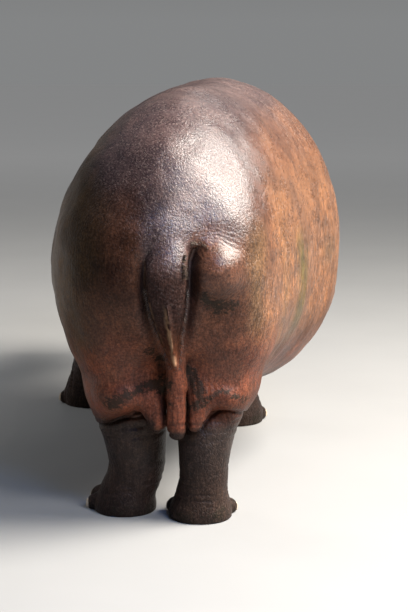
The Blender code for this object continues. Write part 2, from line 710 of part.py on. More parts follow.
def boolean(ob, cutter, how):
    m = ob.modifiers.new("cut", "BOOLEAN")
    m.operation, m.object, m.solver = how, cutter, "EXACT"
    return applied(ob)


def outward(ob):
    bm = bmesh.new()
    bm.from_mesh(ob.data)
    bmesh.ops.recalc_face_normals(bm, faces=bm.faces)
    if bm.calc_volume(signed=True) < 0:
        bmesh.ops.reverse_faces(bm, faces=bm.faces)
    bm.to_mesh(ob.data)
    bm.free()
    return ob


def prism(name, outline, axis, lo, hi, place=None):
    """A closed block: an outline in the two other axes, drawn out along one axis."""
    others = [i for i in range(3) if i != axis]
    verts = []
    for t in (lo, hi):
        for a, b in outline:
            p = [0.0, 0.0, 0.0]
            p[axis], p[others[0]], p[others[1]] = t, a, b
            verts.append(p if place is None else list(place(np.array(p))))
    n = len(outline)
    faces = [tuple(range(n)), tuple(range(2 * n - 1, n - 1, -1))]
    faces += [(i, n + i, n + (i + 1) % n, (i + 1) % n) for i in range(n)]
    return outward(mesh_object(name, verts, faces))


def grown(outline, by):
    """An outline moved out by a small distance."""
    pts = np.array(outline, float)
    nxt, prv = np.roll(pts, -1, 0), np.roll(pts, 1, 0)
    area = ((pts[:, 0] * nxt[:, 1] - nxt[:, 0] * pts[:, 1]).sum()) / 2
    sign = 1.0 if area > 0 else -1.0
    out = []
    for a, b, c in zip(prv, pts, nxt):
        e0, e1 = (b - a) / np.linalg.norm(b - a), (c - b) / np.linalg.norm(c - b)
        n0, n1 = sign * np.array([e0[1], -e0[0]]), sign * np.array([e1[1], -e1[0]])
        m = (n0 + n1) / max(1.0 + n0 @ n1, 0.2)
        out.append(tuple(b + m * by))
    return out


def split(whole, name, outline, axis, lo, hi, place=None):
    """Takes the share of the body inside a block off it, as a piece of its own."""
    cutter = prism("cutter", outline, axis, lo, hi, place)
    piece = whole.copy()
    piece.data = whole.data.copy()
    piece.name = name
    bpy.context.scene.collection.objects.link(piece)
    boolean(piece, cutter, "INTERSECT")
    bpy.data.objects.remove(cutter, do_unlink=True)
    cutter = prism("cutter", grown(outline, GAP), axis, lo - GAP, hi + GAP, place)
    boolean(whole, cutter, "DIFFERENCE")
    bpy.data.objects.remove(cutter, do_unlink=True)
    return piece


def ball(name, at, radius, segments=16, rings=10, lengthen=1.0):
    bm = bmesh.new()
    bmesh.ops.create_uvsphere(bm, u_segments=segments, v_segments=rings, radius=radius)
    me = bpy.data.meshes.new(name)
    bm.to_mesh(me)
    bm.free()
    ob = bpy.data.objects.new(name, me)
    bpy.context.scene.collection.objects.link(ob)
    me.transform(Matrix.Translation(Vector(at)))
    return ob


def tidy(ob, keep=1e-7):
    """Closes hairline seams left by the cuts and drops crumbs beside the main body."""
    bm = bmesh.new()
    bm.from_mesh(ob.data)
    bmesh.ops.remove_doubles(bm, verts=bm.verts, dist=2e-6)
    bmesh.ops.dissolve_degenerate(bm, edges=bm.edges, dist=2e-6)
    bmesh.ops.triangulate(bm, faces=bm.faces)
    seen, groups = set(), []
    for v in bm.verts:
        if v in seen:
            continue
        todo, group = [v], []
        seen.add(v)
        while todo:
            a = todo.pop()
            group.append(a)
            for e in a.link_edges:
                b = e.other_vert(a)
                if b not in seen:
                    seen.add(b)
                    todo.append(b)
        groups.append(group)
    groups.sort(key=len)
    for g in groups[:-1]:
        bmesh.ops.delete(bm, geom=g, context="VERTS")
    bm.to_mesh(ob.data)
    bm.free()
    return ob


# the whole body, skinned and thinned; the head keeps more of its faces than the trunk
v, f = surface(body, (-0.75, -0.60, -0.03), (0.85, 3.15, 1.62), GRID, levels=3, steps=2)
whole = mesh_object("whole", v, f)
group = whole.vertex_groups.new(name="keep")
fine = 0.20 + 0.80 * np.maximum(
    np.maximum(step(v[:, 1], 2.02, 2.20), step(v[:, 2], 0.16, 0.10)),
    0.8 * step(v[:, 1], -0.22, -0.30) * step(np.abs(v[:, 0]), 0.20, 0.10) * step(v[:, 2], 1.10, 1.00))
for k in range(9):
    ids = np.nonzero(np.abs(fine - (k + 0.5) / 9) <= 0.5 / 9 + 1e-9)[0]
    group.add([int(i) for i in ids], (k + 0.5) / 9, "REPLACE")
thin = whole.modifiers.new("thin", "DECIMATE")
thin.decimate_type = "COLLAPSE"
thin.ratio = TRIANGLES / (2 * len(f))
thin.vertex_group = "keep"
thin.vertex_group_factor = 0.20
thin.invert_vertex_group = True
thin.use_collapse_triangulate = True
applied(whole)
whole.vertex_groups.clear()
outward(whole)

pieces_made = []

# flat soles, all at one level
ground = prism("cutter", [(-1.5, -0.2), (4.0, -0.2), (4.0, SOLE), (-1.5, SOLE)], 0, -1.5, 1.5)
boolean(whole, ground, "DIFFERENCE")
bpy.data.objects.remove(ground, do_unlink=True)

# eyes
for side, label in ((1, "right"), (-1, "left")):
    at = from_head(EYE * np.array([side, 1, 1]))
    eye = ball("eye_" + label, at, EYE_R * HEAD_SIZE)
    pieces_made.append(eye)
    socket = ball("cutter", at, EYE_R * HEAD_SIZE + GAP)
    boolean(whole, socket, "DIFFERENCE")
    bpy.data.objects.remove(socket, do_unlink=True)

# ears: everything of the ear above a slanting base
for side, label in ((1, "right"), (-1, "left")):
    def place(q, side=side):
        p = EAR_BASE + EAR_AXES @ q
        return from_head(p * np.array([side, 1, 1]))
    pieces_made.append(split(whole, "ear_" + label, [(-0.08, -0.07), (0.08, -0.07), (0.08, 0.07), (-0.08, 0.07)],
                             0, 0.036, 0.20, place))

# tail: a block whose front face runs just inside the rump
rows = [(1.020, -0.325), (0.940, -0.330), (0.850, -0.322), (0.760, -0.300), (0.680, -0.288), (0.560, -0.286)]
outline = [(b, a) for a, b in rows] + [(-0.70, 0.560), (-0.70, 1.020)]
pieces_made.append(split(whole, "tail", outline, 0, -0.093, 0.084))

# feet, then legs
for name, (fx, fy, turn) in FEET.items():
    hind = name.startswith("hind")
    lo, hi = ((-0.030, 0.40) if name.endswith("right") else (-0.50, -0.033)) if hind else \
             ((0.05, 0.50) if name.endswith("right") else (-0.65, -0.15))
    end = name.split("_")
    pieces_made.append(split(whole, "foot_" + name,
                             [(fy - 0.30, -0.10), (fy + 0.30, -0.10), (fy + 0.30, 0.098), (fy - 0.30, 0.098)], 0, lo, hi))
LEG_OUTLINES = {
    "hind_right": ([(0.012, 0.05), (0.012, 0.300), (0.062, 0.306), (0.062, 0.440), (0.300, 0.640), (0.75, 0.820), (0.75, 0.05)], -0.80, 0.470),
    "hind_left": ([(-0.0125, 0.05), (-0.75, 0.05), (-0.75, 0.820), (-0.280, 0.640), (-0.0125, 0.440)], -0.80, 0.470),
    "front_right": ([(0.08, 0.05), (0.08, 0.350), (0.140, 0.430), (0.75, 0.700), (0.75, 0.05)], 1.335, 2.10),
    "front_left": ([(-0.10, 0.05), (-0.75, 0.05), (-0.75, 0.700), (-0.130, 0.430), (-0.10, 0.380)], 1.545, 2.30),
}
for name, (outline, lo, hi) in LEG_OUTLINES.items():
    pieces_made.append(split(whole, "leg_" + name, outline, 1, lo, hi))

# lower jaw: below the line of the mouth, back to the angle of the jaw
MOUTH = [(0.95, -0.163), (0.66, -0.148), (0.58, -0.135), (0.46, -0.1125), (0.34, -0.100), (0.24, -0.103),
         (0.17, -0.155), (0.02, -0.370), (0.02, -0.60), (0.95, -0.60)]
pieces_made.append(split(whole, "lower_jaw", MOUTH, 0, -0.45, 0.45, from_head))
# head and neck
pieces_made.append(split(whole, "head", [(-0.055, 0.60), (-0.035, 0.150), (0.010, -0.10), (0.035, -0.60), (1.20, -0.60), (1.20, 0.60)],
                         0, -0.60, 0.60, from_head))
pieces_made.append(split(whole, "neck", [(1.83, 1.70), (1.90, 0.95), (1.80, 0.45), (1.70, 0.10), (3.2, 0.10), (3.2, 1.70)], 0, -0.90, 0.90))
whole.name = "trunk"
pieces_made.append(whole)

HIDE = {"trunk": (0.16, 0.105, 0.09), "tail": (0.10, 0.075, 0.075), "head": (0.20, 0.12, 0.10),
        "neck": (0.18, 0.115, 0.10), "lower_jaw": (0.27, 0.14, 0.12), "leg": (0.13, 0.085, 0.075),
        "foot": (0.11, 0.085, 0.085), "ear": (0.24, 0.13, 0.11), "eye": (0.03, 0.018, 0.010)}
for ob in pieces_made:
    if not ob.name.startswith("eye"):
        tidy(ob)
    ob.data.transform(TURN)
    outward(ob)
    ob.data.materials.clear()
    kind = ob.name if ob.name in HIDE else ob.name.split("_")[0]
    ob.data.materials.append(material(ob.name, HIDE[kind], 0.08 if kind == "eye" else 0.42))
    ob.data.shade_smooth()
    ob.data.set_sharp_from_angle(angle=radians(40))
    print(ob.name, len(ob.data.polygons))
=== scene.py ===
"""Looks of the common hippopotamus: one wet bare skin over the whole body, with eyes, nails and
bristles of their own, on a plain pale floor in soft light.

The skin is the same distance field that the solids were made from, skinned much finer, with the
folds and wrinkles of the species pressed into it. Shapes are worked out in the animal's own frame
(x to its right, y forward, z up from the ground) and turned into the row frame at the end.
"""
import json
import bpy
import numpy as np
from math import radians, sin, cos, tan, pi
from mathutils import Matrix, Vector

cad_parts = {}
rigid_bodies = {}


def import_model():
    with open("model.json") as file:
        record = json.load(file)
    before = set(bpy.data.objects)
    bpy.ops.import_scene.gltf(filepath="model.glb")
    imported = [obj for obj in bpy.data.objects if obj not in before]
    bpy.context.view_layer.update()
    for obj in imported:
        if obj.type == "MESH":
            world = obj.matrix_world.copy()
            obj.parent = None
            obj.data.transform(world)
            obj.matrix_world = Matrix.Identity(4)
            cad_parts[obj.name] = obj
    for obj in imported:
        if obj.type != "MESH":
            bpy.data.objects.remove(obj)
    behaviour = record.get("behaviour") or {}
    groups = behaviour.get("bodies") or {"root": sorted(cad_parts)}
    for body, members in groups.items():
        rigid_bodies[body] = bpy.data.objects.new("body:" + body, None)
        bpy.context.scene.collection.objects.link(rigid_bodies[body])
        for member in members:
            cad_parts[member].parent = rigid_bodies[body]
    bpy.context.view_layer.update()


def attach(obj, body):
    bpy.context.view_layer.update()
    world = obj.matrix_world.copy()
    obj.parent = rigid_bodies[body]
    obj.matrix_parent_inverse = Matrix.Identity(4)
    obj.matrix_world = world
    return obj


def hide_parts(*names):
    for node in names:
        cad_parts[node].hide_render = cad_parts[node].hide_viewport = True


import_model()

GRID = 0.008    # cell size of the skin before its finer places are divided
SOLE = 0.002                        # the soles' level in the animal's frame, the floor in the row frame
CENTRE = (0.060, 1.242)             # the animal's x and y that stand over the row frame's origin


def to_row(p):
    """Animal frame to row frame."""
    p = np.asarray(p, float)
    return np.stack([CENTRE[0] - p[..., 0], CENTRE[1] - p[..., 1], p[..., 2] - SOLE], -1)


def dir_to_row(d):
    d = np.asarray(d, float)
    return d * np.array([-1.0, -1.0, 1.0])


# ---------------------------------------------------------------- shape algebra
def smin(a, b, k):
    """Union of two distances, with a fillet about k deep."""
    h = np.maximum(k - np.abs(a - b), 0.0) / k
    return np.minimum(a, b) - h * h * h * k / 6.0


def smax(a, b, k):
    return -smin(-a, -b, k)


def pchip(xs, ys):
    """Monotone cubic through stations: no overshoot between them."""
    xs, ys = np.asarray(xs, float), np.asarray(ys, float)
    h = np.diff(xs)
    s = np.diff(ys) / h
    m = np.zeros_like(ys)
    both = s[:-1] * s[1:] > 0
    w1, w2 = 2 * h[1:] + h[:-1], h[1:] + 2 * h[:-1]
    inner = np.zeros_like(s[:-1])
    inner[both] = (w1 + w2)[both] / (w1[both] / s[:-1][both] + w2[both] / s[1:][both])
    m[1:-1] = inner
    m[0], m[-1] = s[0], s[-1]

    def f(x):
        x = np.clip(x, xs[0], xs[-1])
        i = np.clip(np.searchsorted(xs, x) - 1, 0, len(h) - 1)
        t = (x - xs[i]) / h[i]
        t2, t3 = t * t, t * t * t
        return ((2 * t3 - 3 * t2 + 1) * ys[i] + (t3 - 2 * t2 + t) * h[i] * m[i]
                + (3 * t2 - 2 * t3) * ys[i + 1] + (t3 - t2) * h[i] * m[i + 1])
    return f


def ellipsoid(p, c, r, axes=None):
    q = p - np.asarray(c)
    if axes is not None:
        q = q @ axes
    r = np.asarray(r, float)
    k0 = np.sqrt(((q / r) ** 2).sum(1))
    k1 = np.sqrt(((q / (r * r)) ** 2).sum(1))
    return k0 * (k0 - 1.0) / np.maximum(k1, 1e-9)


def cone(p, a, b, ra, rb):
    """Round-ended tapered limb from a to b: the hull of two balls."""
    a, b = np.asarray(a, float), np.asarray(b, float)
    ba = b - a
    l2, rr = ba @ ba, ra - rb
    a2 = l2 - rr * rr
    pa = p - a
    y = pa @ ba
    z = y - l2
    x2 = ((pa * l2 - y[:, None] * ba) ** 2).sum(1)
    y2, z2 = y * y * l2, z * z * l2
    k = np.sign(rr) * rr * rr * x2
    d = (np.sqrt(x2 * a2 / l2) + y * rr) / l2 - ra
    d = np.where(np.sign(y) * a2 * y2 < k, np.sqrt(x2 + y2) / l2 - ra, d)
    return np.where(np.sign(z) * a2 * z2 > k, np.sqrt(x2 + z2) / l2 - rb, d)


def step(x, a, b):
    t = np.clip((x - a) / (b - a), 0, 1)
    return t * t * (3 - 2 * t)


def spline(xs, ys, flat=True):
    """Smooth cubic through stations. Its ends are level, or run on straight."""
    xs, ys = np.asarray(xs, float), np.asarray(ys, float)
    n = len(xs)
    h = np.diff(xs)
    s = np.diff(ys) / h
    A = np.zeros((n, n)); r = np.zeros(n)
    for i in range(1, n - 1):
        A[i, i - 1], A[i, i], A[i, i + 1] = h[i], 2 * (h[i - 1] + h[i]), h[i - 1]
        r[i] = 3 * (h[i] * s[i - 1] + h[i - 1] * s[i])
    A[0, 0] = A[-1, -1] = 1.0
    if not flat:
        A[0, 1], A[-1, -2] = 0.5, 0.5
        r[0], r[-1] = 1.5 * s[0], 1.5 * s[-1]
    m = np.linalg.solve(A, r)

    def f(x):
        c = np.clip(x, xs[0], xs[-1])
        i = np.clip(np.searchsorted(xs, c) - 1, 0, n - 2)
        t = (c - xs[i]) / h[i]
        t2, t3 = t * t, t * t * t
        y = ((2 * t3 - 3 * t2 + 1) * ys[i] + (t3 - 2 * t2 + t) * h[i] * m[i]
             + (3 * t2 - 2 * t3) * ys[i + 1] + (t3 - t2) * h[i] * m[i + 1])
        return y if flat else y + (x - c) * np.where(x < xs[0], m[0], m[-1])
    return f


def table(stations):
    """Columns of a station table as smooth functions of its first column. The first two, the
    centre line, run on straight beyond the table; the sizes stay level there."""
    c = np.array(stations, float).T
    return (c[0][0], c[0][-1]), [spline(c[0], col, flat=i > 1) for i, col in enumerate(c[1:])]


def loft(s, u, v, tab, caps, n_up=2.0, n_dn=2.0, shear=(0.0, 0.0), n_cap=(2.0, 2.0)):
    """Distance to a body swept along s. Its table gives, at each station, the centre line (uc),
    the level of its widest point (vc), its half width, and its reach above and below that level.
    caps are the lengths of the two rounded ends beyond the first and last stations."""
    (s0, s1), (uc, vc, w, up, dn) = tab
    dv = v - vc(s)
    hu, hd = up(s), dn(s)
    du = u - uc(s) - dv * (shear[1] + (shear[0] - shear[1]) * step(dv, -0.25, 0.25))
    h = np.where(dv > 0, hu, hd)
    n = n_dn + (n_up - n_dn) * step(dv / h, -0.4, 0.4)
    over = np.where(s < s0, s0 - s, np.where(s > s1, s - s1, 0.0))
    cap = np.where(s < s0, over / caps[0], over / caps[1])
    nc = np.where(s < s0, n_cap[0], n_cap[1])
    r2 = (np.abs(du / w(s)) ** n + np.abs(dv / h) ** n + 1e-12) ** (1.0 / n)
    r = (r2 ** nc + cap ** nc) ** (1.0 / nc)
    rad = np.sqrt(du * du + dv * dv + over * over)
    return rad * (1.0 - 1.0 / np.maximum(r, 1e-6))


def tube(p, pts, ru, rv, ref=(1, 0, 0), end=1.0):
    """Distance to a limb of oval section along a smooth line of points; ru is its half width along
    ref and rv its half thickness, each a function of the share of the length."""
    pts = np.asarray(pts, float)
    seg = np.diff(pts, axis=0)
    ln = np.sqrt((seg ** 2).sum(1))
    cum = np.concatenate([[0], np.cumsum(ln)])
    best = np.full(len(p), 1e9)
    bt = np.zeros(len(p))
    bi = np.zeros(len(p), int)
    for i in range(len(seg)):
        q = p - pts[i]
        t = (q @ seg[i]) / (ln[i] ** 2)
        tc = np.clip(t, 0, 1)
        d = ((q - tc[:, None] * seg[i]) ** 2).sum(1)
        m = d < best
        best[m] = d[m]
        bt[m] = tc[m]
        bi[m] = i
    share = (cum[bi] + bt * ln[bi]) / cum[-1]
    near = pts[bi] + bt[:, None] * seg[bi]
    q = p - near
    tan_ = seg[bi] / ln[bi][:, None]
    ref = np.asarray(ref, float)
    u = ref - tan_ * (tan_ @ ref)[:, None]
    u /= np.sqrt((u ** 2).sum(1))[:, None]
    v = np.cross(tan_, u)
    qu, qv, qt = (q * u).sum(1), (q * v).sum(1), (q * tan_).sum(1)
    a, b = ru(share), rv(share)
    c = np.minimum(a, b) * end
    r = np.sqrt((qu / a) ** 2 + (qv / b) ** 2 + (qt / c) ** 2)
    rad = np.sqrt(qu * qu + qv * qv + qt * qt)
    return rad * (1.0 - 1.0 / np.maximum(r, 1e-6)), share


def curve(points, n=14):
    """A smooth line through a few points, as n + 1 points."""
    points = np.asarray(points, float)
    k = np.linspace(0, 1, len(points))
    t = np.linspace(0, 1, n + 1)
    return np.stack([pchip(k, points[:, i])(t) for i in range(3)], 1)


def groove(s, width):
    """A soft valley across s = 0."""
    return np.exp(-(s / width) ** 2)


def lattice(seed):
    rng = np.random.default_rng(seed)
    perm = rng.permutation(256)
    perm = np.concatenate([perm, perm, perm])
    vals = rng.uniform(-1, 1, 256)
    return perm, vals


_PERM, _VALS = lattice(7)


def noise(p, scale, seed=0):
    """Smooth value noise between -1 and 1, with lumps about scale across."""
    q = p / scale + np.array([17.13, 5.7, 91.7]) + seed * np.array([3.17, 7.31, 1.93])
    i = np.floor(q).astype(np.int64)
    f = q - i
    f = f * f * f * (f * (f * 6 - 15) + 10)
    i &= 255
    out = 0.0
    for dx in (0, 1):
        wx = f[:, 0] if dx else 1 - f[:, 0]
        for dy in (0, 1):
            wy = f[:, 1] if dy else 1 - f[:, 1]
            for dz in (0, 1):
                wz = f[:, 2] if dz else 1 - f[:, 2]
                h = _PERM[_PERM[_PERM[(i[:, 0] + dx) & 255] + ((i[:, 1] + dy) & 255)] + ((i[:, 2] + dz) & 255)]
                out = out + wx * wy * wz * _VALS[h]
    return out * 1.6

# ---------------------------------------------------------------- the animal, in its own frame:
# x to its right, y forward from the hind feet, z up from the ground, metres

# trunk: y, centre line x, level of widest point, half width, reach above, reach below
TRUNK = table([
    # y      xc     zm     w      up     down
    [0.40, 0.060, 0.885, 0.458, 0.625, 0.515],
    [0.78, 0.114, 0.862, 0.517, 0.657, 0.560],
    [1.12, 0.126, 0.858, 0.539, 0.655, 0.570],
    [1.46, 0.092, 0.875, 0.504, 0.605, 0.540],
])
TRUNK_CAPS = (0.78, 0.66)
LEAN = (tan(radians(3.8)), -tan(radians(2.3)))

# hind limb: z, centre x (outward), centre y, half width, reach forward, reach back
THIGH = table([
    [0.50, 0.174, 0.010, 0.148, 0.250, 0.240],
    [0.60, 0.186, 0.050, 0.180, 0.310, 0.298],
    [0.72, 0.197, 0.085, 0.202, 0.360, 0.370],
    [0.86, 0.197, 0.100, 0.200, 0.370, 0.425],
    [1.00, 0.185, 0.110, 0.188, 0.340, 0.425],
])
THIGH_CAPS = (0.135, 0.32)
SHANK = table([
    [-0.02, 0.111, 0.000, 0.110, 0.107, 0.127],
    [0.03, 0.111, 0.000, 0.112, 0.110, 0.132],
    [0.07, 0.113, -0.006, 0.099, 0.104, 0.121],
    [0.12, 0.117, -0.018, 0.087, 0.098, 0.106],
    [0.22, 0.122, -0.033, 0.088, 0.098, 0.102],
    [0.34, 0.133, -0.033, 0.104, 0.120, 0.110],
    [0.44, 0.142, -0.018, 0.116, 0.155, 0.118],
    [0.60, 0.160, 0.010, 0.140, 0.200, 0.140],
])
# fore limb: z, x and y from the foot's own place, half width, reach forward, reach back
FORELEG = table([
    [-0.02, 0.000, 0.000, 0.122, 0.110, 0.130],
    [0.035, 0.000, 0.000, 0.128, 0.118, 0.137],
    [0.09, 0.000, -0.012, 0.115, 0.112, 0.122],
    [0.15, 0.000, -0.025, 0.098, 0.102, 0.104],
    [0.23, 0.000, -0.030, 0.096, 0.103, 0.104],
    [0.34, 0.000, -0.022, 0.112, 0.122, 0.126],
    [0.46, 0.000, -0.005, 0.134, 0.150, 0.160],
    [0.62, 0.000, 0.000, 0.150, 0.190, 0.200],
    [0.85, 0.000, 0.000, 0.160, 0.210, 0.230],
])

SHANK_EXTRA = {"hind_right": 0.02, "hind_left": 0.20}
HEM = {"hind_right": (0.152, 0.392), "hind_left": (-0.112, 0.382)}
# where each foot stands: x, y, and the way its toes point (degrees, + to the right)
FEET = {
    "hind_right": (0.110, -0.050, 3.0),
    "hind_left": (-0.168, 0.045, -26.0),
    "front_right": (0.254, 1.500, 8.0),
    "front_left": (-0.400, 1.880, -24.0),
}
SHOULDER = {"front_right": (0.270, 1.640), "front_left": (-0.275, 1.680)}


def foot_frame(name):
    x, y, turn = FEET[name]
    a = radians(turn)
    return np.array([x, y, 0.0]), np.array([cos(a), -sin(a), 0.0]), np.array([sin(a), cos(a), 0.0])


TOE_ANGLES = (-64.0, -23.0, 23.0, 64.0)


def toes(name):
    """Start, tip and radii of each toe of a foot, in order from its left to its right."""
    c, right, fwd = foot_frame(name)
    front = name.startswith("front")
    out = []
    for i, deg in enumerate(TOE_ANGLES):
        a = radians(deg)
        inner = abs(deg) < 40
        reach = (0.158 if inner else 0.138) + (0.012 if front else 0.0)
        rad = (0.037 if inner else 0.031) + (0.003 if front else 0.0)
        d = right * sin(a) + fwd * cos(a)
        start = c + d * 0.055 + np.array([0, 0, rad + 0.012])
        tip = c + d * (reach - rad) + np.array([0, 0, rad - 0.006])
        out.append((start, tip, rad + 0.006, rad, d))
    return out


def hind_leg(p, name):
    side = 1.0 if name.endswith("right") else -1.0
    fx, fy, _ = FEET[name]
    q = p.copy()
    q[:, 0] = p[:, 0] * side
    tuck = 0.0 if side > 0 else 0.015
    thigh = loft(q[:, 2], q[:, 0] + tuck, q[:, 1], THIGH, THIGH_CAPS, 2.1, 2.1, (0.0, 0.0), (2.4, 2.0))
    # the skin's hem rises to an arch over the middle of the leg
    ax, az = HEM[name]
    thigh = thigh + 0.042 * np.exp(-((p[:, 0] - ax) / 0.055) ** 2 - ((p[:, 2] - az) / 0.050) ** 2)
    # the foot's place draws the shank after it
    low = step(p[:, 2], 0.19, 0.02)
    q = q.copy()
    q[:, 0] -= (fx * side - 0.113) * low
    wide = 1.0 + SHANK_EXTRA[name] * step(p[:, 2], 0.04, 0.12) * step(p[:, 2], 0.55, 0.35)
    q[:, 0] = 0.118 + (q[:, 0] - 0.118) / wide
    q[:, 1] -= fy * step(p[:, 2], 0.60, 0.10)
    shank = loft(q[:, 2], q[:, 0], q[:, 1], SHANK, (0.1, 0.1), 2.0, 2.1)
    return thigh, shank, q


def fore_leg(p, name):
    side = 1.0 if name.endswith("right") else -1.0
    fx, fy, _ = FEET[name]
    sx, sy = SHOULDER[name]
    high = step(p[:, 2], 0.10, 0.62)
    q = p.copy()
    q[:, 0] = (p[:, 0] - fx - (sx - fx) * high) * side
    q[:, 1] = p[:, 1] - fy - (sy - fy) * high
    return loft(q[:, 2], q[:, 0], q[:, 1], FORELEG, (0.1, 0.2), 2.0, 2.0), q


# head: its own frame starts at the poll, y along the muzzle
HEAD_AT = np.array([-0.075, 2.120, 0.945])
HEAD_YAW, HEAD_PITCH = radians(8.0), radians(20.0)


def head_axes():
    f = np.array([-sin(HEAD_YAW) * cos(HEAD_PITCH), cos(HEAD_YAW) * cos(HEAD_PITCH), -sin(HEAD_PITCH)])
    r = np.array([cos(HEAD_YAW), sin(HEAD_YAW), 0.0])
    return np.stack([r, f, np.cross(r, f)], 1)


HEAD_AXES = head_axes()


HEAD_SIZE = 1.13


def to_head(p):
    return (p - HEAD_AT) @ HEAD_AXES / HEAD_SIZE


def from_head(q):
    return np.asarray(q) @ HEAD_AXES.T * HEAD_SIZE + HEAD_AT


SKULL = table([
    # y      xc   zm      w      up     down
    [0.020, 0.0, 0.010, 0.205, 0.185, 0.175],
    [0.130, 0.0, 0.020, 0.210, 0.172, 0.170],
    [0.235, 0.0, 0.022, 0.184, 0.148, 0.158],
    [0.345, 0.0, 0.015, 0.164, 0.133, 0.146],
    [0.435, 0.0, 0.005, 0.178, 0.136, 0.142],
    [0.520, 0.0, -0.005, 0.212, 0.145, 0.142],
    [0.595, 0.0, -0.010, 0.228, 0.146, 0.140],
])
SKULL_CAPS = (0.20, 0.135)
JAW = table([
    [0.040, 0.0, -0.155, 0.190, 0.120, 0.180],
    [0.180, 0.0, -0.157, 0.173, 0.110, 0.160],
    [0.330, 0.0, -0.160, 0.150, 0.090, 0.138],
    [0.455, 0.0, -0.165, 0.166, 0.075, 0.126],
    [0.550, 0.0, -0.170, 0.188, 0.070, 0.118],
])
JAW_CAPS = (0.18, 0.120)
EYE_OUT = np.array([0.86, 0.26, 0.44]) / np.linalg.norm([0.86, 0.26, 0.44])
EYE_MOUND, EYE_MOUND_R = np.array([0.105, 0.142, 0.167]), np.array([0.056, 0.075, 0.052])
EYE_R = 0.0195
EYE = EYE_MOUND + EYE_OUT * (1.0 / np.linalg.norm(EYE_OUT / EYE_MOUND_R) - 0.0105)


def axes_about(out, up):
    """Three perpendicular directions as columns: out, across, and near up."""
    out = np.asarray(out, float) / np.linalg.norm(out)
    up = np.asarray(up, float) - out * np.dot(up, out)
    up /= np.linalg.norm(up)
    return np.stack([out, np.cross(up, out), up], 1)


EYE_AXES = axes_about(EYE_OUT, (-0.2, 0.12, 1.0))


def mirror(q):
    m = q.copy()
    m[:, 0] = np.abs(m[:, 0])
    return m


def skull(q):
    """Upper head, without ears, in the head frame."""
    m = mirror(q)
    d = loft(q[:, 1], q[:, 0], q[:, 2], SKULL, SKULL_CAPS, 2.3, 2.4)
    # cheek and chewing muscle
    d = smin(d, ellipsoid(m, (0.116, 0.070, -0.085), (0.092, 0.155, 0.165)), 0.06)
    # lip pads that widen the snout
    d = smin(d, ellipsoid(m, (0.126, 0.585, -0.022), (0.100, 0.112, 0.114)), 0.05)
    # mounds of the nostrils
    d = smin(d, ellipsoid(m, (0.084, 0.608, 0.120), (0.056, 0.070, 0.047)), 0.05)
    # brow ridge and the mound that carries the eye
    d = smin(d, ellipsoid(m, EYE_MOUND, EYE_MOUND_R), 0.05)
    # lids: a thick ring round the eyeball, slit open
    lid = np.sqrt(((m - EYE) ** 2).sum(1)) - (EYE_R + 0.0075)
    d = smin(d, lid, 0.014)
    d = smax(d, -ellipsoid(m, EYE + EYE_OUT * 0.020, (0.0215, 0.0180, 0.0115), EYE_AXES), 0.004)
    return d


def jaw(q):
    d = loft(q[:, 1], q[:, 0], q[:, 2], JAW, JAW_CAPS, 2.3, 2.3)
    return d


EAR_BASE = np.array([0.112, 0.015, 0.150])
EAR_AXES = axes_about((0.50, -0.22, 0.84), (0.55, 0.80, -0.10))   # along the ear, across it, and the way its cup opens


def ear(q):
    m = mirror(q)
    axis, face = EAR_AXES[:, 0], EAR_AXES[:, 2]
    ax = EAR_AXES[:, [1, 2, 0]]
    outer = ellipsoid(m, EAR_BASE + axis * 0.075, (0.044, 0.026, 0.058), ax)
    inner = ellipsoid(m, EAR_BASE + axis * 0.083 + face * 0.016, (0.032, 0.019, 0.044), ax)
    d = smax(outer, -inner, 0.008)
    return smin(d, cone(m, EAR_BASE, EAR_BASE + axis * 0.045, 0.034, 0.026), 0.02)


def head(p):
    q = to_head(p)
    d = smin(skull(q), jaw(q), 0.014)
    d = smin(d, ear(q), 0.02)
    m = mirror(q)
    # nostril slits
    ax_n = np.array([0.55, 0.80, 0.0]); ax_n /= np.linalg.norm(ax_n)
    up_n = np.array([0.0, 0.25, 0.97]); up_n -= ax_n * (up_n @ ax_n); up_n /= np.linalg.norm(up_n)
    fr = np.stack([ax_n, np.cross(up_n, ax_n), up_n], 1)
    d = smax(d, -ellipsoid(m, (0.085, 0.624, 0.167), (0.034, 0.011, 0.030), fr), 0.012)
    return d * HEAD_SIZE


TAIL = curve([(-0.004, -0.14, 1.15), (-0.002, -0.27, 1.07), (-0.004, -0.345, 0.98), (-0.007, -0.375, 0.90),
              (-0.003, -0.372, 0.82), (0.004, -0.350, 0.73), (0.013, -0.335, 0.655), (0.022, -0.325, 0.590)], 36)
TAIL_W = pchip([0, 0.2, 0.42, 0.55, 0.68, 0.82, 0.92, 1.0], [0.090, 0.084, 0.074, 0.070, 0.058, 0.038, 0.024, 0.010])
TAIL_T = pchip([0, 0.2, 0.42, 0.55, 0.68, 0.82, 0.92, 1.0], [0.070, 0.058, 0.044, 0.038, 0.033, 0.025, 0.018, 0.010])
# creases seen from behind: x, z and depth
CREASE_RIGHT = ((0.130, 1.006, 0.000), (0.108, 1.001, 0.009), (0.088, 0.988, 0.024), (0.074, 0.955, 0.036), (0.071, 0.870, 0.034),
                (0.066, 0.790, 0.026), (0.053, 0.700, 0.020), (0.043, 0.630, 0.014), (0.038, 0.560, 0.010))
CREASE_LEFT = ((-0.060, 1.000, 0.004), (-0.080, 0.950, 0.020), (-0.083, 0.880, 0.022), (-0.072, 0.800, 0.022),
               (-0.052, 0.720, 0.020), (-0.030, 0.640, 0.016), (-0.015, 0.560, 0.014))
CLEFT = ((0.014, 0.640, 0.000), (0.018, 0.580, 0.014), (0.022, 0.500, 0.026), (0.024, 0.400, 0.040), (0.024, 0.300, 0.040))
LOBE = curve([(0.018, -0.245, 0.68), (0.022, -0.240, 0.58), (0.026, -0.222, 0.47), (0.026, -0.210, 0.350)], 8)
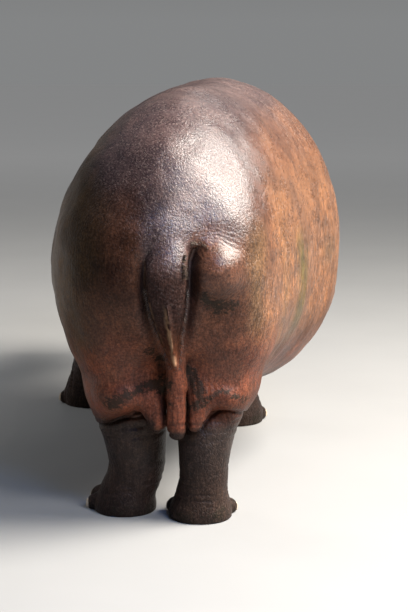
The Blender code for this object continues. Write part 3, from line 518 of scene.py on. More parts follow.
LOBE_R = pchip([0, 0.45, 0.8, 1], [0.040, 0.038, 0.037, 0.034])


SIT_BONES = (((0.158, -0.305, 0.918), (0.090, 0.080, 0.098)), ((-0.150, -0.305, 0.915), (0.085, 0.070, 0.095)))
KEEL = ((-0.002, 0.830, 0.0), (0.000, 0.795, 1.0), (0.008, 0.730, 1.0), (0.016, 0.660, 1.0), (0.023, 0.600, 0.8))


def crest(u, v, pts, width):
    return crease(u, v, pts, width)


def crease(u, v, pts, width):
    """How deep a soft valley along a bent line is at each (u, v)."""
    pts = np.asarray(pts, float)
    best = np.full(len(u), 1e9)
    deep = np.zeros(len(u))
    for a, b in zip(pts[:-1], pts[1:]):
        e = b[:2] - a[:2]
        t = np.clip(((u - a[0]) * e[0] + (v - a[1]) * e[1]) / (e @ e), 0, 1)
        d = np.hypot(u - a[0] - t * e[0], v - a[1] - t * e[1])
        m = d < best
        best[m] = d[m]
        deep[m] = (a[2] + (b[2] - a[2]) * t)[m]
    return deep * np.exp(-(best / width) ** 2)


def near(p, lo, hi, fn):
    """A part's distance inside its own box of space, and simply far outside it."""
    m = ((p > np.asarray(lo)) & (p < np.asarray(hi))).all(1)
    out = np.full(len(p), 1.0)
    if m.any():
        out[m] = fn(p[m])
    return out


def patch(p, lo, hi, d, fn):
    """Changes a distance only inside a box of space."""
    m = ((p > np.asarray(lo)) & (p < np.asarray(hi))).all(1)
    if m.any():
        d = d.copy()
        d[m] = fn(p[m], d[m])
    return d


def shoulders(p):
    d = np.full(len(p), 1.0)
    for name in ("front_right", "front_left"):
        sx, sy = SHOULDER[name]
        d = smin(d, ellipsoid(p, (sx * 0.84 + 0.02, sy - 0.06, 0.82), (0.185, 0.37, 0.42)), 0.05)
    return d


def neck(p):
    d = ellipsoid(p, (0.01, 1.72, 0.92), (0.35, 0.56, 0.45))
    return smin(d, cone(p, (-0.02, 1.80, 0.92), from_head((0, 0.05, -0.085)), 0.40, 0.240), 0.16)


def hindquarters(p, d):
    """Thighs, sit bones, folds of skin, tail and shanks, from behind forwards."""
    z = p[:, 2]
    limbs = {name: hind_leg(p, name) for name in ("hind_right", "hind_left")}
    for thigh, shank, q in limbs.values():
        d = smin(d, thigh, 0.09 + 0.05 * step(z, 0.62, 0.95))
    # sit bones beside the tail
    for at, size in SIT_BONES:
        d = smin(d, ellipsoid(p, at, size), 0.06)
    # flank folds
    d = smin(d, cone(p, (0.275, 0.18, 0.52), (0.42, 0.52, 0.66), 0.055, 0.05), 0.06)
    d = smin(d, cone(p, (-0.265, 0.18, 0.52), (-0.34, 0.52, 0.66), 0.055, 0.05), 0.06)
    # folds between the thighs
    d = smin(d, ellipsoid(p, (0.022, -0.128, 0.540), (0.078, 0.100, 0.165)), 0.05)
    d = smin(d, cone(p, (-0.080, -0.135, 0.520), (-0.038, -0.175, 0.376), 0.072, 0.047), 0.045)
    d = smin(d, cone(p, (0.122, -0.150, 0.520), (0.082, -0.196, 0.379), 0.068, 0.041), 0.045)

    def rump(p, d):
        rear = step(p[:, 1], 0.05, -0.12)
        x, z = p[:, 0], p[:, 2]
        d = d + rear * (crease(x, z, CREASE_RIGHT, 0.022) + crease(x, z, CREASE_LEFT, 0.024)
                        + crease(x, z, CLEFT, 0.036))
        # tail, which grows out of the rump without a step
        t, share = tube(p, TAIL, TAIL_W, TAIL_T)
        t = t - 0.011 * step(p[:, 1], -0.30, -0.36) * crease(x, z, KEEL, 0.010)
        d = smin(d, t, 0.010 + 0.10 * step(share, 0.42, 0.05))
        l, sh = tube(p, LOBE, LOBE_R, LOBE_R)
        return smin(d, l, 0.014 + 0.05 * step(sh, 0.45, 0.0))

    d = patch(p, (-0.25, -0.7, 0.10), (0.30, 0.10, 1.35), d, rump)
    for name, (thigh, shank, q) in limbs.items():
        q0 = p[:, 0] * (1.0 if name.endswith("right") else -1.0)
        d = smin(d, shank, 0.022 + 0.075 * step(q0, 0.14, 0.24))
    return d


def body(p):
    """The whole animal but eyes and nails."""
    y, z = p[:, 1], p[:, 2]
    d = loft(y, p[:, 0], z, TRUNK, TRUNK_CAPS, 1.88, 2.2, LEAN, (2.2, 2.5))
    d = smin(d, near(p, (-2, 0.95, 0.1), (2, 2.4, 1.6), shoulders), 0.18)
    d = smin(d, near(p, (-2, 0.95, 0.2), (2, 2.8, 1.7), neck), 0.18)
    d = patch(p, (-1, -1, -1), (1, 0.95, 1.60), d, hindquarters)
    for name in ("front_right", "front_left"):
        fx, fy, _ = FEET[name]
        d = smin(d, near(p, (fx - 0.45, fy - 0.75, -0.2), (fx + 0.45, fy + 0.55, 1.3),
                         lambda p: fore_leg(p, name)[0]), 0.05)
    for name in FEET:
        fx, fy, _ = FEET[name]
        for a, b, ra, rb, _ in toes(name):
            d = smin(d, near(p, (fx - 0.26, fy - 0.2, -0.1), (fx + 0.26, fy + 0.3, 0.2),
                             lambda p: cone(p, a, b, ra, rb)), 0.014)
    d = smin(d, near(p, (-0.7, 1.85, 0.2), (0.5, 3.4, 1.6), head), 0.05)
    # soles
    return smax(d, -z, 0.006)

# ---------------------------------------------------------------- skinning a field
def cells_near(field, lo, hi, h, levels):
    """Integer cells of size h that may hold the surface, found from coarse to fine."""
    big = h * 2 ** levels
    n = np.ceil((np.asarray(hi) - lo) / big).astype(int)
    g = np.stack(np.meshgrid(*[np.arange(k) for k in n], indexing="ij"), -1).reshape(-1, 3)
    size = big
    for level in range(levels + 1):
        d = field(lo + (g + 0.5) * size)
        g = g[np.abs(d) < size * (1.9 if level == levels else 1.5)]
        if level < levels:
            o = np.stack(np.meshgrid([0, 1], [0, 1], [0, 1], indexing="ij"), -1).reshape(-1, 3)
            g = (g[:, None, :] * 2 + o[None]).reshape(-1, 3)
            size /= 2
    return g


def pieces(nodes, adj):
    """How many separate groups a few corners make."""
    left, count = set(nodes), 0
    while left:
        todo, count = [left.pop()], count + 1
        while todo:
            a = todo.pop()
            for b in [b for b in left if adj[a, b]]:
                left.remove(b)
                todo.append(b)
    return count


def surface(field, lo, hi, h, levels=3, steps=3):
    """Closed quad mesh of field = 0: one point in each crossed cell, one face on each crossed edge."""
    lo = np.asarray(lo, float)
    g = cells_near(field, lo, hi, h, levels)
    n = g.max(0) + 3
    key = lambda a: (a[..., 0] * n[1] + a[..., 1]) * n[2] + a[..., 2]
    o = np.stack(np.meshgrid([0, 1], [0, 1], [0, 1], indexing="ij"), -1).reshape(-1, 3)
    ck = key(g[:, None, :] + o[None])
    corners, inv = np.unique(ck.reshape(-1), return_inverse=True)
    inv = inv.reshape(-1, 8)
    ci = np.stack([corners // (n[1] * n[2]), corners // n[2] % n[1], corners % n[2]], -1)
    val = field(lo + ci * h)
    # a cell whose inside or outside corners don't hang together would pinch the surface
    adj = np.array([[np.abs(a - b).sum() == 1 for b in o] for a in o])
    pinched = np.array([pieces([i for i in range(8) if m >> i & 1], adj) > 1
                        or pieces([i for i in range(8) if not m >> i & 1], adj) > 1 for m in range(256)])
    sides = [[i for i in range(8) if o[i][a] == b] for a in range(3) for b in (0, 1)]
    for m in range(256):
        for f4 in sides:
            on = [i for i in f4 if m >> i & 1]
            if len(on) == 2 and not adj[on[0], on[1]]:
                pinched[m] = True
    bits = 1 << np.arange(8)
    for _ in range(60):
        bad = pinched[((val[inv] < 0) * bits).sum(1)]
        if not bad.any():
            break
        # fill in the corner that is outside by least
        c8 = inv[bad]
        out = np.where(val[c8] < 0, 1e9, val[c8])
        val[c8[np.arange(len(c8)), out.argmin(1)]] = -1e-6
    inside = val < 0
    cin = inside[inv]
    mixed = cin.any(1) & ~cin.all(1)
    g, inv = g[mixed], inv[mixed]
    cellkey = key(g)
    order = np.argsort(cellkey)
    g, inv, cellkey = g[order], inv[order], cellkey[order]
    # cell points: mean of the crossings on the 12 edges
    pairs = [(a, b) for a in range(8) for b in range(a + 1, 8) if np.abs(o[a] - o[b]).sum() == 1]
    total = np.zeros((len(g), 3)); count = np.zeros(len(g))
    for a, b in pairs:
        va, vb = val[inv[:, a]], val[inv[:, b]]
        m = (va < 0) != (vb < 0)
        t = va[m] / (va[m] - vb[m])
        total[m] += o[a] + t[:, None] * (o[b] - o[a])
        count[m] += 1
    v = lo + (g + total / count[:, None]) * h
    faces = []
    for ax in range(3):
        e = np.zeros(3, int); e[ax] = 1
        b, c = np.eye(3, dtype=int)[(ax + 1) % 3], np.eye(3, dtype=int)[(ax + 2) % 3]
        k0 = corners
        k1 = key(ci + e)
        pos = np.searchsorted(corners, k1)
        ok = (pos < len(corners)) & (corners[np.minimum(pos, len(corners) - 1)] == k1)
        s0, s1 = inside, np.zeros_like(inside)
        s1[ok] = inside[pos[ok]]
        cross = ok & (s0 != s1)
        at = ci[cross]
        quad = [at - b - c, at - c, at, at - b]
        idx = []
        good = np.ones(len(at), bool)
        for qd in quad:
            kk = key(qd)
            ps = np.searchsorted(cellkey, kk)
            ps = np.minimum(ps, len(cellkey) - 1)
            good &= (cellkey[ps] == kk) & (qd >= 0).all(1)
            idx.append(ps)
        q = np.stack(idx, 1)
        flip = ~s0[cross]
        q[flip] = q[flip][:, ::-1]
        if not good.all():
            print("missing cells", (~good).sum())
        faces.append(q[good])
    f = np.concatenate(faces)
    for _ in range(steps):
        v = settle(field, v, h)
    return v, f


def gradient(field, v, e):
    g = np.stack([field(v + np.eye(3)[i] * e) - field(v - np.eye(3)[i] * e) for i in range(3)], 1) / (2 * e)
    return g


def settle(field, v, h):
    """Moves points onto the surface along its slope."""
    d = field(v)
    g = gradient(field, v, h * 0.2)
    move = (d / np.maximum((g * g).sum(1), 0.05))[:, None] * g
    ln = np.sqrt((move ** 2).sum(1))[:, None]
    return v - move * np.minimum(1, h * 0.5 / np.maximum(ln, 1e-12))

# ---------------------------------------------------------------- the skin's own shape
# under the edges of the thigh skin, and down both sides of the hanging lobe: across, up, depth
HEM_LEFT = ((-0.290, 0.318, 0.000), (-0.250, 0.334, 0.010), (-0.218, 0.348, 0.014), (-0.192, 0.358, 0.015), (-0.168, 0.368, 0.015),
            (-0.143, 0.381, 0.014), (-0.119, 0.393, 0.013), (-0.098, 0.394, 0.010), (-0.080, 0.375, 0.008), (-0.062, 0.348, 0.006))
HEM_RIGHT = ((0.112, 0.345, 0.006), (0.128, 0.372, 0.009), (0.148, 0.393, 0.012), (0.175, 0.407, 0.014), (0.203, 0.414, 0.014),
             (0.231, 0.407, 0.013), (0.258, 0.388, 0.010), (0.285, 0.362, 0.000))
LOBE_SIDES = (((-0.008, 0.520, 0.000), (-0.013, 0.470, 0.006), (-0.014, 0.430, 0.004), (-0.014, 0.390, 0.000)),
              ((0.052, 0.530, 0.000), (0.058, 0.480, 0.007), (0.061, 0.430, 0.009), (0.062, 0.330, 0.008)))
ARCH = ((0.076, 0.975, 0.002), (0.090, 0.995, 0.006), (0.108, 1.003, 0.006), (0.126, 1.003, 0.000))
ALGAE_LINE = ((0.19, 0.97), (0.23, 0.90), (0.28, 0.80), (0.27, 0.68))
# lines of the painted highlights down the tail's keel and along its left rim: across and up
KEEL_HIGHLIGHT = ((-0.016, 0.838), (-0.012, 0.795), (-0.001, 0.730), (0.010, 0.665), (0.022, 0.600))
TAIL_RIM_HIGHLIGHT = ((-0.078, 0.965), (-0.078, 0.895), (-0.061, 0.810), (-0.036, 0.730), (-0.012, 0.660))
# dried mud on the rear: across and up, half width, how thick
STAINS = (
    (((-0.200, 0.452), (-0.125, 0.486), (-0.066, 0.514), (-0.015, 0.506)), 0.046, 1.00),
    (((0.004, 0.480), (0.056, 0.470)), 0.016, 0.80),
    (((0.072, 0.548), (0.106, 0.488)), 0.034, 1.00),
    (((0.085, 0.436), (0.140, 0.470), (0.182, 0.496), (0.255, 0.458)), 0.024, 0.85),
    (((-0.060, 0.630), (-0.036, 0.600)), 0.036, 0.75),
    # the dark patch under the right sit bone: dried mud, and painted shade under the bump
    (((0.120, 0.826), (0.167, 0.800), (0.215, 0.808)), 0.044, 0.92),
    (((0.060, 0.570), (0.058, 0.440)), 0.015, 0.85),
    (((-0.290, 0.560), (-0.280, 0.540)), 0.030, 0.45),
    (((-0.002, 0.452), (0.058, 0.449)), 0.013, 0.66),
)
EYES = [from_head(EYE * np.array([s, 1, 1])) for s in (1, -1)]


def skin(p):
    """The body with room for the eyeballs, a tighter crease beside the tail, and level soles."""
    d = body(p)

    def eye_room(p, d):
        m = mirror(to_head(p))
        # the lids open a little wider than the hole cut for the eyeball
        d = smax(d, -ellipsoid(m, EYE + EYE_OUT * 0.020, (0.0220, 0.0218, 0.0118), EYE_AXES) * HEAD_SIZE, 0.003)
        ball = (np.sqrt(((m - EYE) ** 2).sum(1)) - EYE_R) * HEAD_SIZE - 0.0006
        return smax(d, -ball, 0.002)

    for e in EYES:
        d = patch(p, e - 0.05, e + 0.05, d, eye_room)

    def rear(p, d):
        back = step(p[:, 1], -0.10, -0.24)
        x, z = p[:, 0], p[:, 2]
        d = d + back * (0.20 * crease(x, z, CREASE_RIGHT, 0.007) * step(x, 0.100, 0.080) + 0.12 * crease(x, z, CREASE_LEFT, 0.008)
                        + crease(x, z, ARCH, 0.006))
        return d - 0.006 * step(p[:, 1], -0.31, -0.35) * crease(x, z, KEEL, 0.0055)

    def hems(p, d):
        back = step(p[:, 1], 0.02, -0.06)
        x, z = p[:, 0], p[:, 2]
        d = d + back * (crease(x, z, HEM_LEFT, 0.0085) + crease(x, z, HEM_RIGHT, 0.0085))
        for line in LOBE_SIDES:
            d = d + back * crease(x, z, line, 0.0050)
        return d

    d = patch(p, (-0.20, -0.6, 0.50), (0.25, 0.0, 1.10), d, rear)
    d = patch(p, (-0.32, -0.4, 0.28), (0.32, 0.05, 0.60), d, hems)
    return smax(d, SOLE - p[:, 2], 0.005)


# ---------------------------------------------------------------- folds and wrinkles
def ridge(t, width):
    return np.exp(-(t / width) ** 2)


NECK_A = np.array([-0.02, 1.80, 0.92])
NECK_B = from_head((0, 0.05, -0.085))


def relief(p, n):
    """How deep the skin lies below the smooth shape at each point, in metres, and how much of that
    is a crease, from 0 to 1, which later darkens the crease's floor as painted shade."""
    x, y, z = p.T
    q = to_head(p)
    m = mirror(q)
    w1 = noise(p, 0.11, 1)
    w2 = noise(p, 0.045, 2)
    w3 = noise(p, 0.018, 3)
    deep = np.zeros(len(p))
    dark = np.zeros(len(p))

    def groove(t, width, depth, where=1.0):
        nonlocal deep, dark
        g = ridge(t, width) * where
        deep += depth * g
        # the skin rolls up a little on both sides of a crease
        deep -= 0.28 * depth * where * (ridge(np.abs(t) - 2.1 * width, 1.2 * width))
        dark = np.maximum(dark, g * min(1.0, depth / 0.004))

    # soft lie of fat and muscle
    deep += 0.0028 * w1 * step(z, 0.10, 0.35) + 0.0009 * w2
    # vertical folds of the flanks, which run over the ribs and fade on the back
    side = step(np.abs(n[:, 0]), 0.35, 0.8) * step(z, 0.40, 0.60) * step(y, 0.1, 0.4) * step(y, 1.9, 1.6)
    wave = y + 0.10 * (z - 0.8) + 0.016 * w1
    deep += side * 0.0016 * np.sin(wave * 2 * pi / 0.085 + 1.5 * w2)

    # neck and throat: thick rolls behind the jaw
    axis = NECK_B - NECK_A
    length = np.linalg.norm(axis)
    axis = axis / length
    s = (p - NECK_A) @ axis + 0.010 * w1
    off = (p - NECK_A) - ((p - NECK_A) @ axis)[:, None] * axis
    low = off[:, 2] / np.maximum(np.sqrt((off ** 2).sum(1)), 1e-6)
    bend = s + 0.055 * low
    reach = step(y, 1.75, 1.90) * step(m[:, 1], 0.16, 0.04)
    for at, depth, top in ((0.075, 0.0065, 0.25), (0.150, 0.0090, 0.45), (0.215, 0.0100, 0.75), (0.275, 0.0080, 0.55)):
        groove(bend - at - 0.004 * w2, 0.010, depth, reach * step(low, top, top - 0.55))
    # nape: two short rolls behind the ears
    for at in (0.245, 0.300):
        groove(bend - at - 0.05, 0.008, 0.0045, reach * step(low, 0.55, 0.85))

    # face: rolls behind and under the eye, over the cheek, and the corner of the mouth
    e = m - EYE
    re = np.sqrt((e ** 2).sum(1))
    ea = e @ EYE_AXES
    around = np.arctan2(ea[:, 2], ea[:, 1])
    facing = step(ea[:, 0], -0.040, -0.005)
    for rad, depth in ((0.0325, 0.0022), (0.0410, 0.0020), (0.0520, 0.0016)):
        groove(re - rad - 0.0012 * w3, 0.0021, depth, facing * step(np.abs(around + 1.45), 2.3, 1.2))
    face = step(np.abs(m[:, 0]), 0.05, 0.09) * step(m[:, 1], -0.02, 0.05) * step(m[:, 1], 0.47, 0.38)
    for c0, c1, slope, depth in ((0.075, 0.10, 0.30, 0.0030), (0.020, 0.12, 0.22, 0.0026), (-0.040, 0.14, 0.10, 0.0024)):
        line = m[:, 2] - c0 + slope * (m[:, 1] - c1) + 0.006 * w2
        groove(line, 0.0050, depth, face * step(m[:, 1], 0.06, 0.12) * step(m[:, 1], 0.33, 0.24))
    # across the bridge of the snout
    bridge = step(m[:, 0], 0.115, 0.06) * step(m[:, 2], 0.03, 0.08)
    for at in (0.255, 0.300, 0.352, 0.410, 0.470):
        groove(m[:, 1] - at - 0.012 * w2 + 0.25 * m[:, 0], 0.0050, 0.0022, bridge * (0.6 + 0.4 * w1))
    # whisker pits on the lips, in loose rows
    lips = step(m[:, 1], 0.50, 0.56) * step(m[:, 2], 0.06, 0.0) + 0.0
    rows = np.cos(m[:, 0] * 2 * pi / 0.034 + 1.2 * w2) * np.cos(m[:, 2] * 2 * pi / 0.030 + 1.2 * w1)
    deep += lips * 0.0016 * step(rows, 0.45, 0.95)

    # limbs: rings above the toes and behind the joints, broken by the skin's grain
    for name in FEET:
        fx, fy, turn = FEET[name]
        hind = name.startswith("hind")
        here = step(np.hypot(x - fx, y - fy), 0.36, 0.26)
        for at, depth in ((0.098, 0.0034), (0.126, 0.0030), (0.158, 0.0026), (0.196, 0.0020), (0.240, 0.0016)):
            groove(z - at - 0.010 * w1 - 0.10 * (y - fy) * (1 if hind else 0.6), 0.0042, depth,
                   here * (0.55 + 0.45 * w2) * step(z, 0.06, 0.08))
        # front of the wrist and back of the hock
        face_y = (p[:, 1] - fy) * (-1 if hind else 1)
        for at in (0.300, 0.335, 0.372):
            groove(z - at - 0.012 * w1, 0.006, 0.0032, here * step(face_y, -0.02, 0.05) * (0.6 + 0.4 * w2))
    # elbow and stifle: slanting rolls where the limb meets the belly
    for sx, x0, y0 in ((1, 0.30, 1.44), (-1, -0.28, 1.50)):
        near_leg = step(np.abs(x - x0), 0.22, 0.12) * step(z, 0.70, 0.58) * step(z, 0.36, 0.44) * step(np.abs(y - y0), 0.24, 0.14)
        for k in range(3):
            groove((y - y0) + 0.55 * (z - 0.5) + 0.045 * (k - 1) + 0.012 * w1, 0.008, 0.0055, near_leg)
    # tail: rings across it
    tl = step(np.abs(x - 0.0), 0.085, 0.06) * step(y, -0.33, -0.37) * step(z, 0.60, 0.64) * step(z, 0.98, 0.90)
    deep += tl * 0.0006 * np.sin((z + 0.35 * (x + 0.01) + 0.006 * w2) * 2 * pi / 0.017)
    # folds that fan out from the root of the tail and the sit bone
    fan = step(y, -0.24, -0.30) * step(z, 0.60, 0.70) * step(z, 1.12, 1.02)
    r = np.hypot(x - 0.150, z - 0.920)
    deep += fan * 0.0006 * (0.6 + 0.5 * w1) * np.sin((r + 0.006 * w2) * 2 * pi / 0.0125) * step(r, 0.085, 0.105) * step(r, 0.26, 0.18) * step(x, 0.06, 0.10)
    # hanging folds between the thighs: upright pleats
    hang = step(y, -0.12, -0.18) * step(z, 0.58, 0.50) * step(z, 0.34, 0.37) * step(np.abs(x - 0.02), 0.17, 0.12)
    deep += hang * 0.0007 * np.sin((x + 0.15 * (z - 0.4) * np.sign(x - 0.02) + 0.004 * w2) * 2 * pi / 0.021)
    return deep, dark


# ---------------------------------------------------------------- mesh helpers
def new_mesh(name, verts, faces):
    """An object from arrays; faces is one array of quads or of triangles."""
    faces = np.asarray(faces, np.int32)
    k = faces.shape[1]
    me = bpy.data.meshes.new(name)
    me.vertices.add(len(verts))
    me.vertices.foreach_set("co", np.asarray(verts, np.float32).ravel())
    me.loops.add(faces.size)
    me.loops.foreach_set("vertex_index", faces.ravel())
    me.polygons.add(len(faces))
    me.polygons.foreach_set("loop_start", np.arange(0, faces.size, k, dtype=np.int32))
    me.update(calc_edges=True)
    me.shade_smooth()
    ob = bpy.data.objects.new(name, me)
    bpy.context.scene.collection.objects.link(ob)
    return ob


def coords(ob):
    co = np.empty(len(ob.data.vertices) * 3, np.float32)
    ob.data.vertices.foreach_get("co", co)
    return co.reshape(-1, 3).astype(float)


def set_coords(ob, v):
    ob.data.vertices.foreach_set("co", np.asarray(v, np.float32).ravel())
    ob.data.update()


def centres(ob):
    c = np.empty(len(ob.data.polygons) * 3, np.float32)
    ob.data.polygons.foreach_get("center", c)
    return c.reshape(-1, 3).astype(float)


def divide(ob, where):
    """Splits the chosen faces in four, and the ones beside them so that the mesh stays closed."""
    me = ob.data
    me.vertices.foreach_set("select", np.zeros(len(me.vertices), bool))
    me.edges.foreach_set("select", np.zeros(len(me.edges), bool))
    me.polygons.foreach_set("select", where)
    for other in bpy.context.view_layer.objects:
        other.select_set(other == ob)
    bpy.context.view_layer.objects.active = ob
    bpy.ops.object.mode_set(mode="EDIT")
    bpy.ops.mesh.select_mode(type="FACE")
    bpy.ops.mesh.subdivide(number_cuts=1, smoothness=0, ngon=False, quadcorner="INNERVERT")
    bpy.ops.object.mode_set(mode="OBJECT")


def attribute(ob, name, values):
    values = np.asarray(values, np.float32)
    kind = "FLOAT" if values.ndim == 1 else "FLOAT_VECTOR"
    a = ob.data.attributes.new(name, kind, "POINT")
    a.data.foreach_set("value" if values.ndim == 1 else "vector", values.ravel())


# ---------------------------------------------------------------- skin mesh
v, f = surface(skin, (-0.75, -0.60, -0.03), (0.85, 3.15, 1.62), GRID, levels=3, steps=2)
body_skin = new_mesh("skin", v, f)


def fine_places(c):
    x, y, z = c.T
    head_neck = y > 1.84
    rump = (y < -0.04) & (np.abs(x - 0.02) < 0.27) & (z > 0.30) & (z < 1.06)
    feet = z < 0.20
    return head_neck | rump | feet


def finest_places(c):
    q = mirror(to_head(c))
    eyes = np.sqrt(((q - EYE) ** 2).sum(1)) < 0.062
    nose = np.sqrt(((q - np.array([0.085, 0.624, 0.160])) ** 2).sum(1)) < 0.050
    ears = np.sqrt(((q - EAR_BASE - EAR_AXES[:, 0] * 0.080) ** 2).sum(1)) < 0.085
    return eyes | nose | ears


divide(body_skin, fine_places(centres(body_skin)))
v = coords(body_skin)
m = fine_places(v)
v[m] = settle(skin, v[m], GRID / 2)
v[m] = settle(skin, v[m], GRID / 2)
set_coords(body_skin, v)
divide(body_skin, finest_places(centres(body_skin)))
v = coords(body_skin)
m = finest_places(v)
v[m] = settle(skin, v[m], GRID / 4)
v[m] = settle(skin, v[m], GRID / 4)
set_coords(body_skin, v)

normals = np.empty(len(v) * 3, np.float32)
body_skin.data.vertex_normals.foreach_get("vector", normals)
normals = normals.reshape(-1, 3).astype(float)
deep, dark = relief(v, normals)
sole = step(v[:, 2], SOLE + 0.004, SOLE + 0.02)
skin_points, skin_normals = v.copy(), normals
v = v - normals * (deep * sole)[:, None]
v[:, 2] = np.maximum(v[:, 2], SOLE)
set_coords(body_skin, to_row(v))


# ---------------------------------------------------------------- markings, as smooth functions of place
def spot(p, at, r):
    return np.exp(-((p - np.asarray(at)) ** 2 / np.asarray(r) ** 2).sum(1))


def markings(p, n):
    """Shares from 0 to 1 of the skin's tones at each point of the animal's frame."""
    x, y, z = p.T
    q = to_head(p)
    m = mirror(q)
    on_head = step(m[:, 1], -0.10, 0.05) * step(y, 1.95, 2.10)
    w1, w2 = noise(p, 0.16, 11), noise(p, 0.06, 12)
    out = {}
    # dark violet grey of the back, which ends in a ragged edge down the flanks and covers the tail's root
    edge = z + 0.06 * w1 + 0.02 * w2 + 0.10 * step(x, 0.10, 0.35)
    back = step(edge, 0.94, 1.26)
    tail_root = step(np.abs(x + 0.005), 0.11, 0.06) * step(y, -0.10, -0.25) * step(z, 0.66, 0.80) * (0.45 + 0.55 * step(z, 0.88, 1.02))
    out["back"] = np.maximum(back * step(n[:, 0], 0.92, 0.55), tail_root)
    # orange brown right flank, and a paler belly
    out_x = x - 0.03 + 0.05 * w1
    out["flank"] = step(out_x, 0.17, 0.42) * step(z, 0.38, 0.80) * step(n[:, 0], 0.10, 0.60) * (1 - 0.6 * step(z, 1.00, 1.32))
    # painted shade: the left side is a darker olive brown
    out["shade"] = step(-out_x, 0.20, 0.42) * step(z, 0.30, 0.50) * step(-n[:, 0], 0.20, 0.60)
    # painted highlight: the lit edge that runs down the twisted tail, and a fainter one along its left rim
    tail = step(y, -0.31, -0.35)
    w3 = noise(p, 0.018, 15)
    painted_keel_highlight = np.exp(-((along_line(x - 0.004 * w3, z, KEEL_HIGHLIGHT)[0] - 0.0008) / 0.0038) ** 2) * step(z, 0.84, 0.74) * step(z, 0.595, 0.62) * (0.7 + 0.6 * w3)
    rim = np.exp(-(along_line(x - 0.002 * w3, z, TAIL_RIM_HIGHLIGHT)[0] / 0.0030) ** 2) * (0.15 + 0.12 * w3)
    out["painted_keel_highlight"] = np.clip(tail * np.maximum(painted_keel_highlight, rim), 0, 1)
    # reddish lower rump, folds and inner thighs
    low_rump = step(y, 0.05, -0.12) * step(z, 0.78, 0.52) * step(z, 0.34, 0.38)
    out["red"] = np.clip(low_rump * (0.75 + 0.25 * w2) + 0.8 * spot(p, (0.022, -0.25, 0.45), (0.12, 0.2, 0.12)), 0, 1)
    # legs and feet
    leg = step(z + 0.02 * w1, 0.43, 0.34)
    out["leg"] = leg * (1 - 0.999 * step(z, 0.33, 0.37) * step(np.abs(x - 0.025), 0.085, 0.06) * step(y, 0.05, -0.05))
    # dried mud
    mud = 0
    for line, wide, much in STAINS:
        d = along_line(x, z, line)[0]
        mud = np.maximum(mud, much * step(d + 0.010 * w2, 1.15 * wide, 0) * step(y, -0.05, -0.12))
    mud = np.maximum(mud, 0.62 * step(z, 0.09, 0.03) * (0.6 + 0.4 * w2))
    out["mud"] = np.clip(mud, 0, 1)
    green = np.exp(-((along_line(y, z, ALGAE_LINE)[0] + 0.012 * w2) / 0.080) ** 2) * step(z, 1.06, 0.90)
    out["algae"] = np.clip(green + 0.25 * spot(p, (0.36, 0.0, 0.80), (0.3, 0.05, 0.28)), 0, 1) * (x > 0)
    # pink round the eyes and ears, on the lips, throat and belly
    re = np.sqrt(((m - EYE) ** 2).sum(1))
    pink = step(re, 0.080, 0.035)
    ear_at = m - EAR_BASE - EAR_AXES[:, 0] * 0.075
    pink = np.maximum(pink, 0.8 * step(np.sqrt((ear_at ** 2).sum(1)), 0.085, 0.055))
    mouth = step(m[:, 2] + 0.03 * w2, -0.03, -0.12) * step(m[:, 1], 0.0, 0.3)
    pink = np.maximum(pink, 0.85 * on_head * mouth)
    pink = np.maximum(pink, 0.7 * on_head * step(m[:, 1], 0.60, 0.70) * (0.6 + 0.4 * w2))
    throat = step(y, 1.75, 2.0) * step(n[:, 2], 0.05, -0.55)
    belly = step(n[:, 2], -0.35, -0.8) * step(z, 0.30, 0.36) * step(y, 0.1, 0.35)
    pink = np.maximum(pink, np.maximum(0.8 * throat, 0.6 * belly))
    out["pink"] = np.clip(pink, 0, 1)
    # painted shade: the left of the rump, the middle above the tail, the tail and the lower right of the rump are
    # darkened where shade falls
    out["painted_shade"] = step(-x + 0.03 * w1 + 0.055 * step(z, 1.09, 1.17), 0.00, 0.13) * step(-x, 0.42, 0.28) * step(z, 0.66, 0.90) * step(z, 1.46, 1.16) * step(y, 0.42, 0.02)
    out["painted_shade"] = np.maximum(out["painted_shade"], 0.95 * tail * step(np.abs(x), 0.11, 0.08) * step(z, 0.97, 0.90) * step(z, 0.60, 0.66))
    # painted shadow: a dark olive band down the right of the rump, along the edge of the shade
    out["shade"] = np.maximum(out["shade"], 0.8 * ridge(x + 0.012 * w1 + 0.05 * (z - 0.85) - 0.298, 0.034) * step(y, 0.35, 0.15) * step(z, 0.62, 0.74) * step(z, 1.14, 1.00))
    out["painted_shade"] = np.maximum(out["painted_shade"], 0.42 * low_rump * step(x, 0.07, 0.13) * step(z, 0.54, 0.45))
    # a darker brown smear high on the right flank, in the same olive brown
    out["shade"] = np.maximum(out["shade"], 0.75 * spot(p, (0.61, 0.73, 0.865), (0.3, 0.11, 0.055)))
    # how upright the fine wrinkles run: fully on the flanks, hardly on the back
    out["streak"] = step(z + 0.05 * w1, 1.36, 0.86) * step(np.hypot(n[:, 0], n[:, 1]), 0.5, 0.85) * (1 - on_head)
    # dampness
    dry = 0.55 * spot(p, (-0.01, -0.31, 1.195), (0.080, 0.4, 0.050)) + 0.40 * step(y, 0.20, 0.55) * step(z, 1.30, 1.44)
    out["wet"] = np.clip(0.20 + 0.80 * step(z, 0.72, 1.02) + 0.20 * w1, 0, 1) * step(z, 0.05, 0.35) * (1 - np.clip(dry, 0, 0.6))
    return out


def along_line(u, v, pts):
    """Distance to a bent line and the share of its length nearest to each point."""
    pts = np.asarray(pts, float)[:, :2]
    best, share = np.full(len(u), 1e9), np.zeros(len(u))
    for i, (a, b) in enumerate(zip(pts[:-1], pts[1:])):
        e = b - a
        t = np.clip(((u - a[0]) * e[0] + (v - a[1]) * e[1]) / (e @ e), 0, 1)
        d = np.hypot(u - a[0] - t * e[0], v - a[1] - t * e[1])
        near_ = d < best
        best[near_], share[near_] = d[near_], ((i + t) / (len(pts) - 1))[near_]
    return best, share


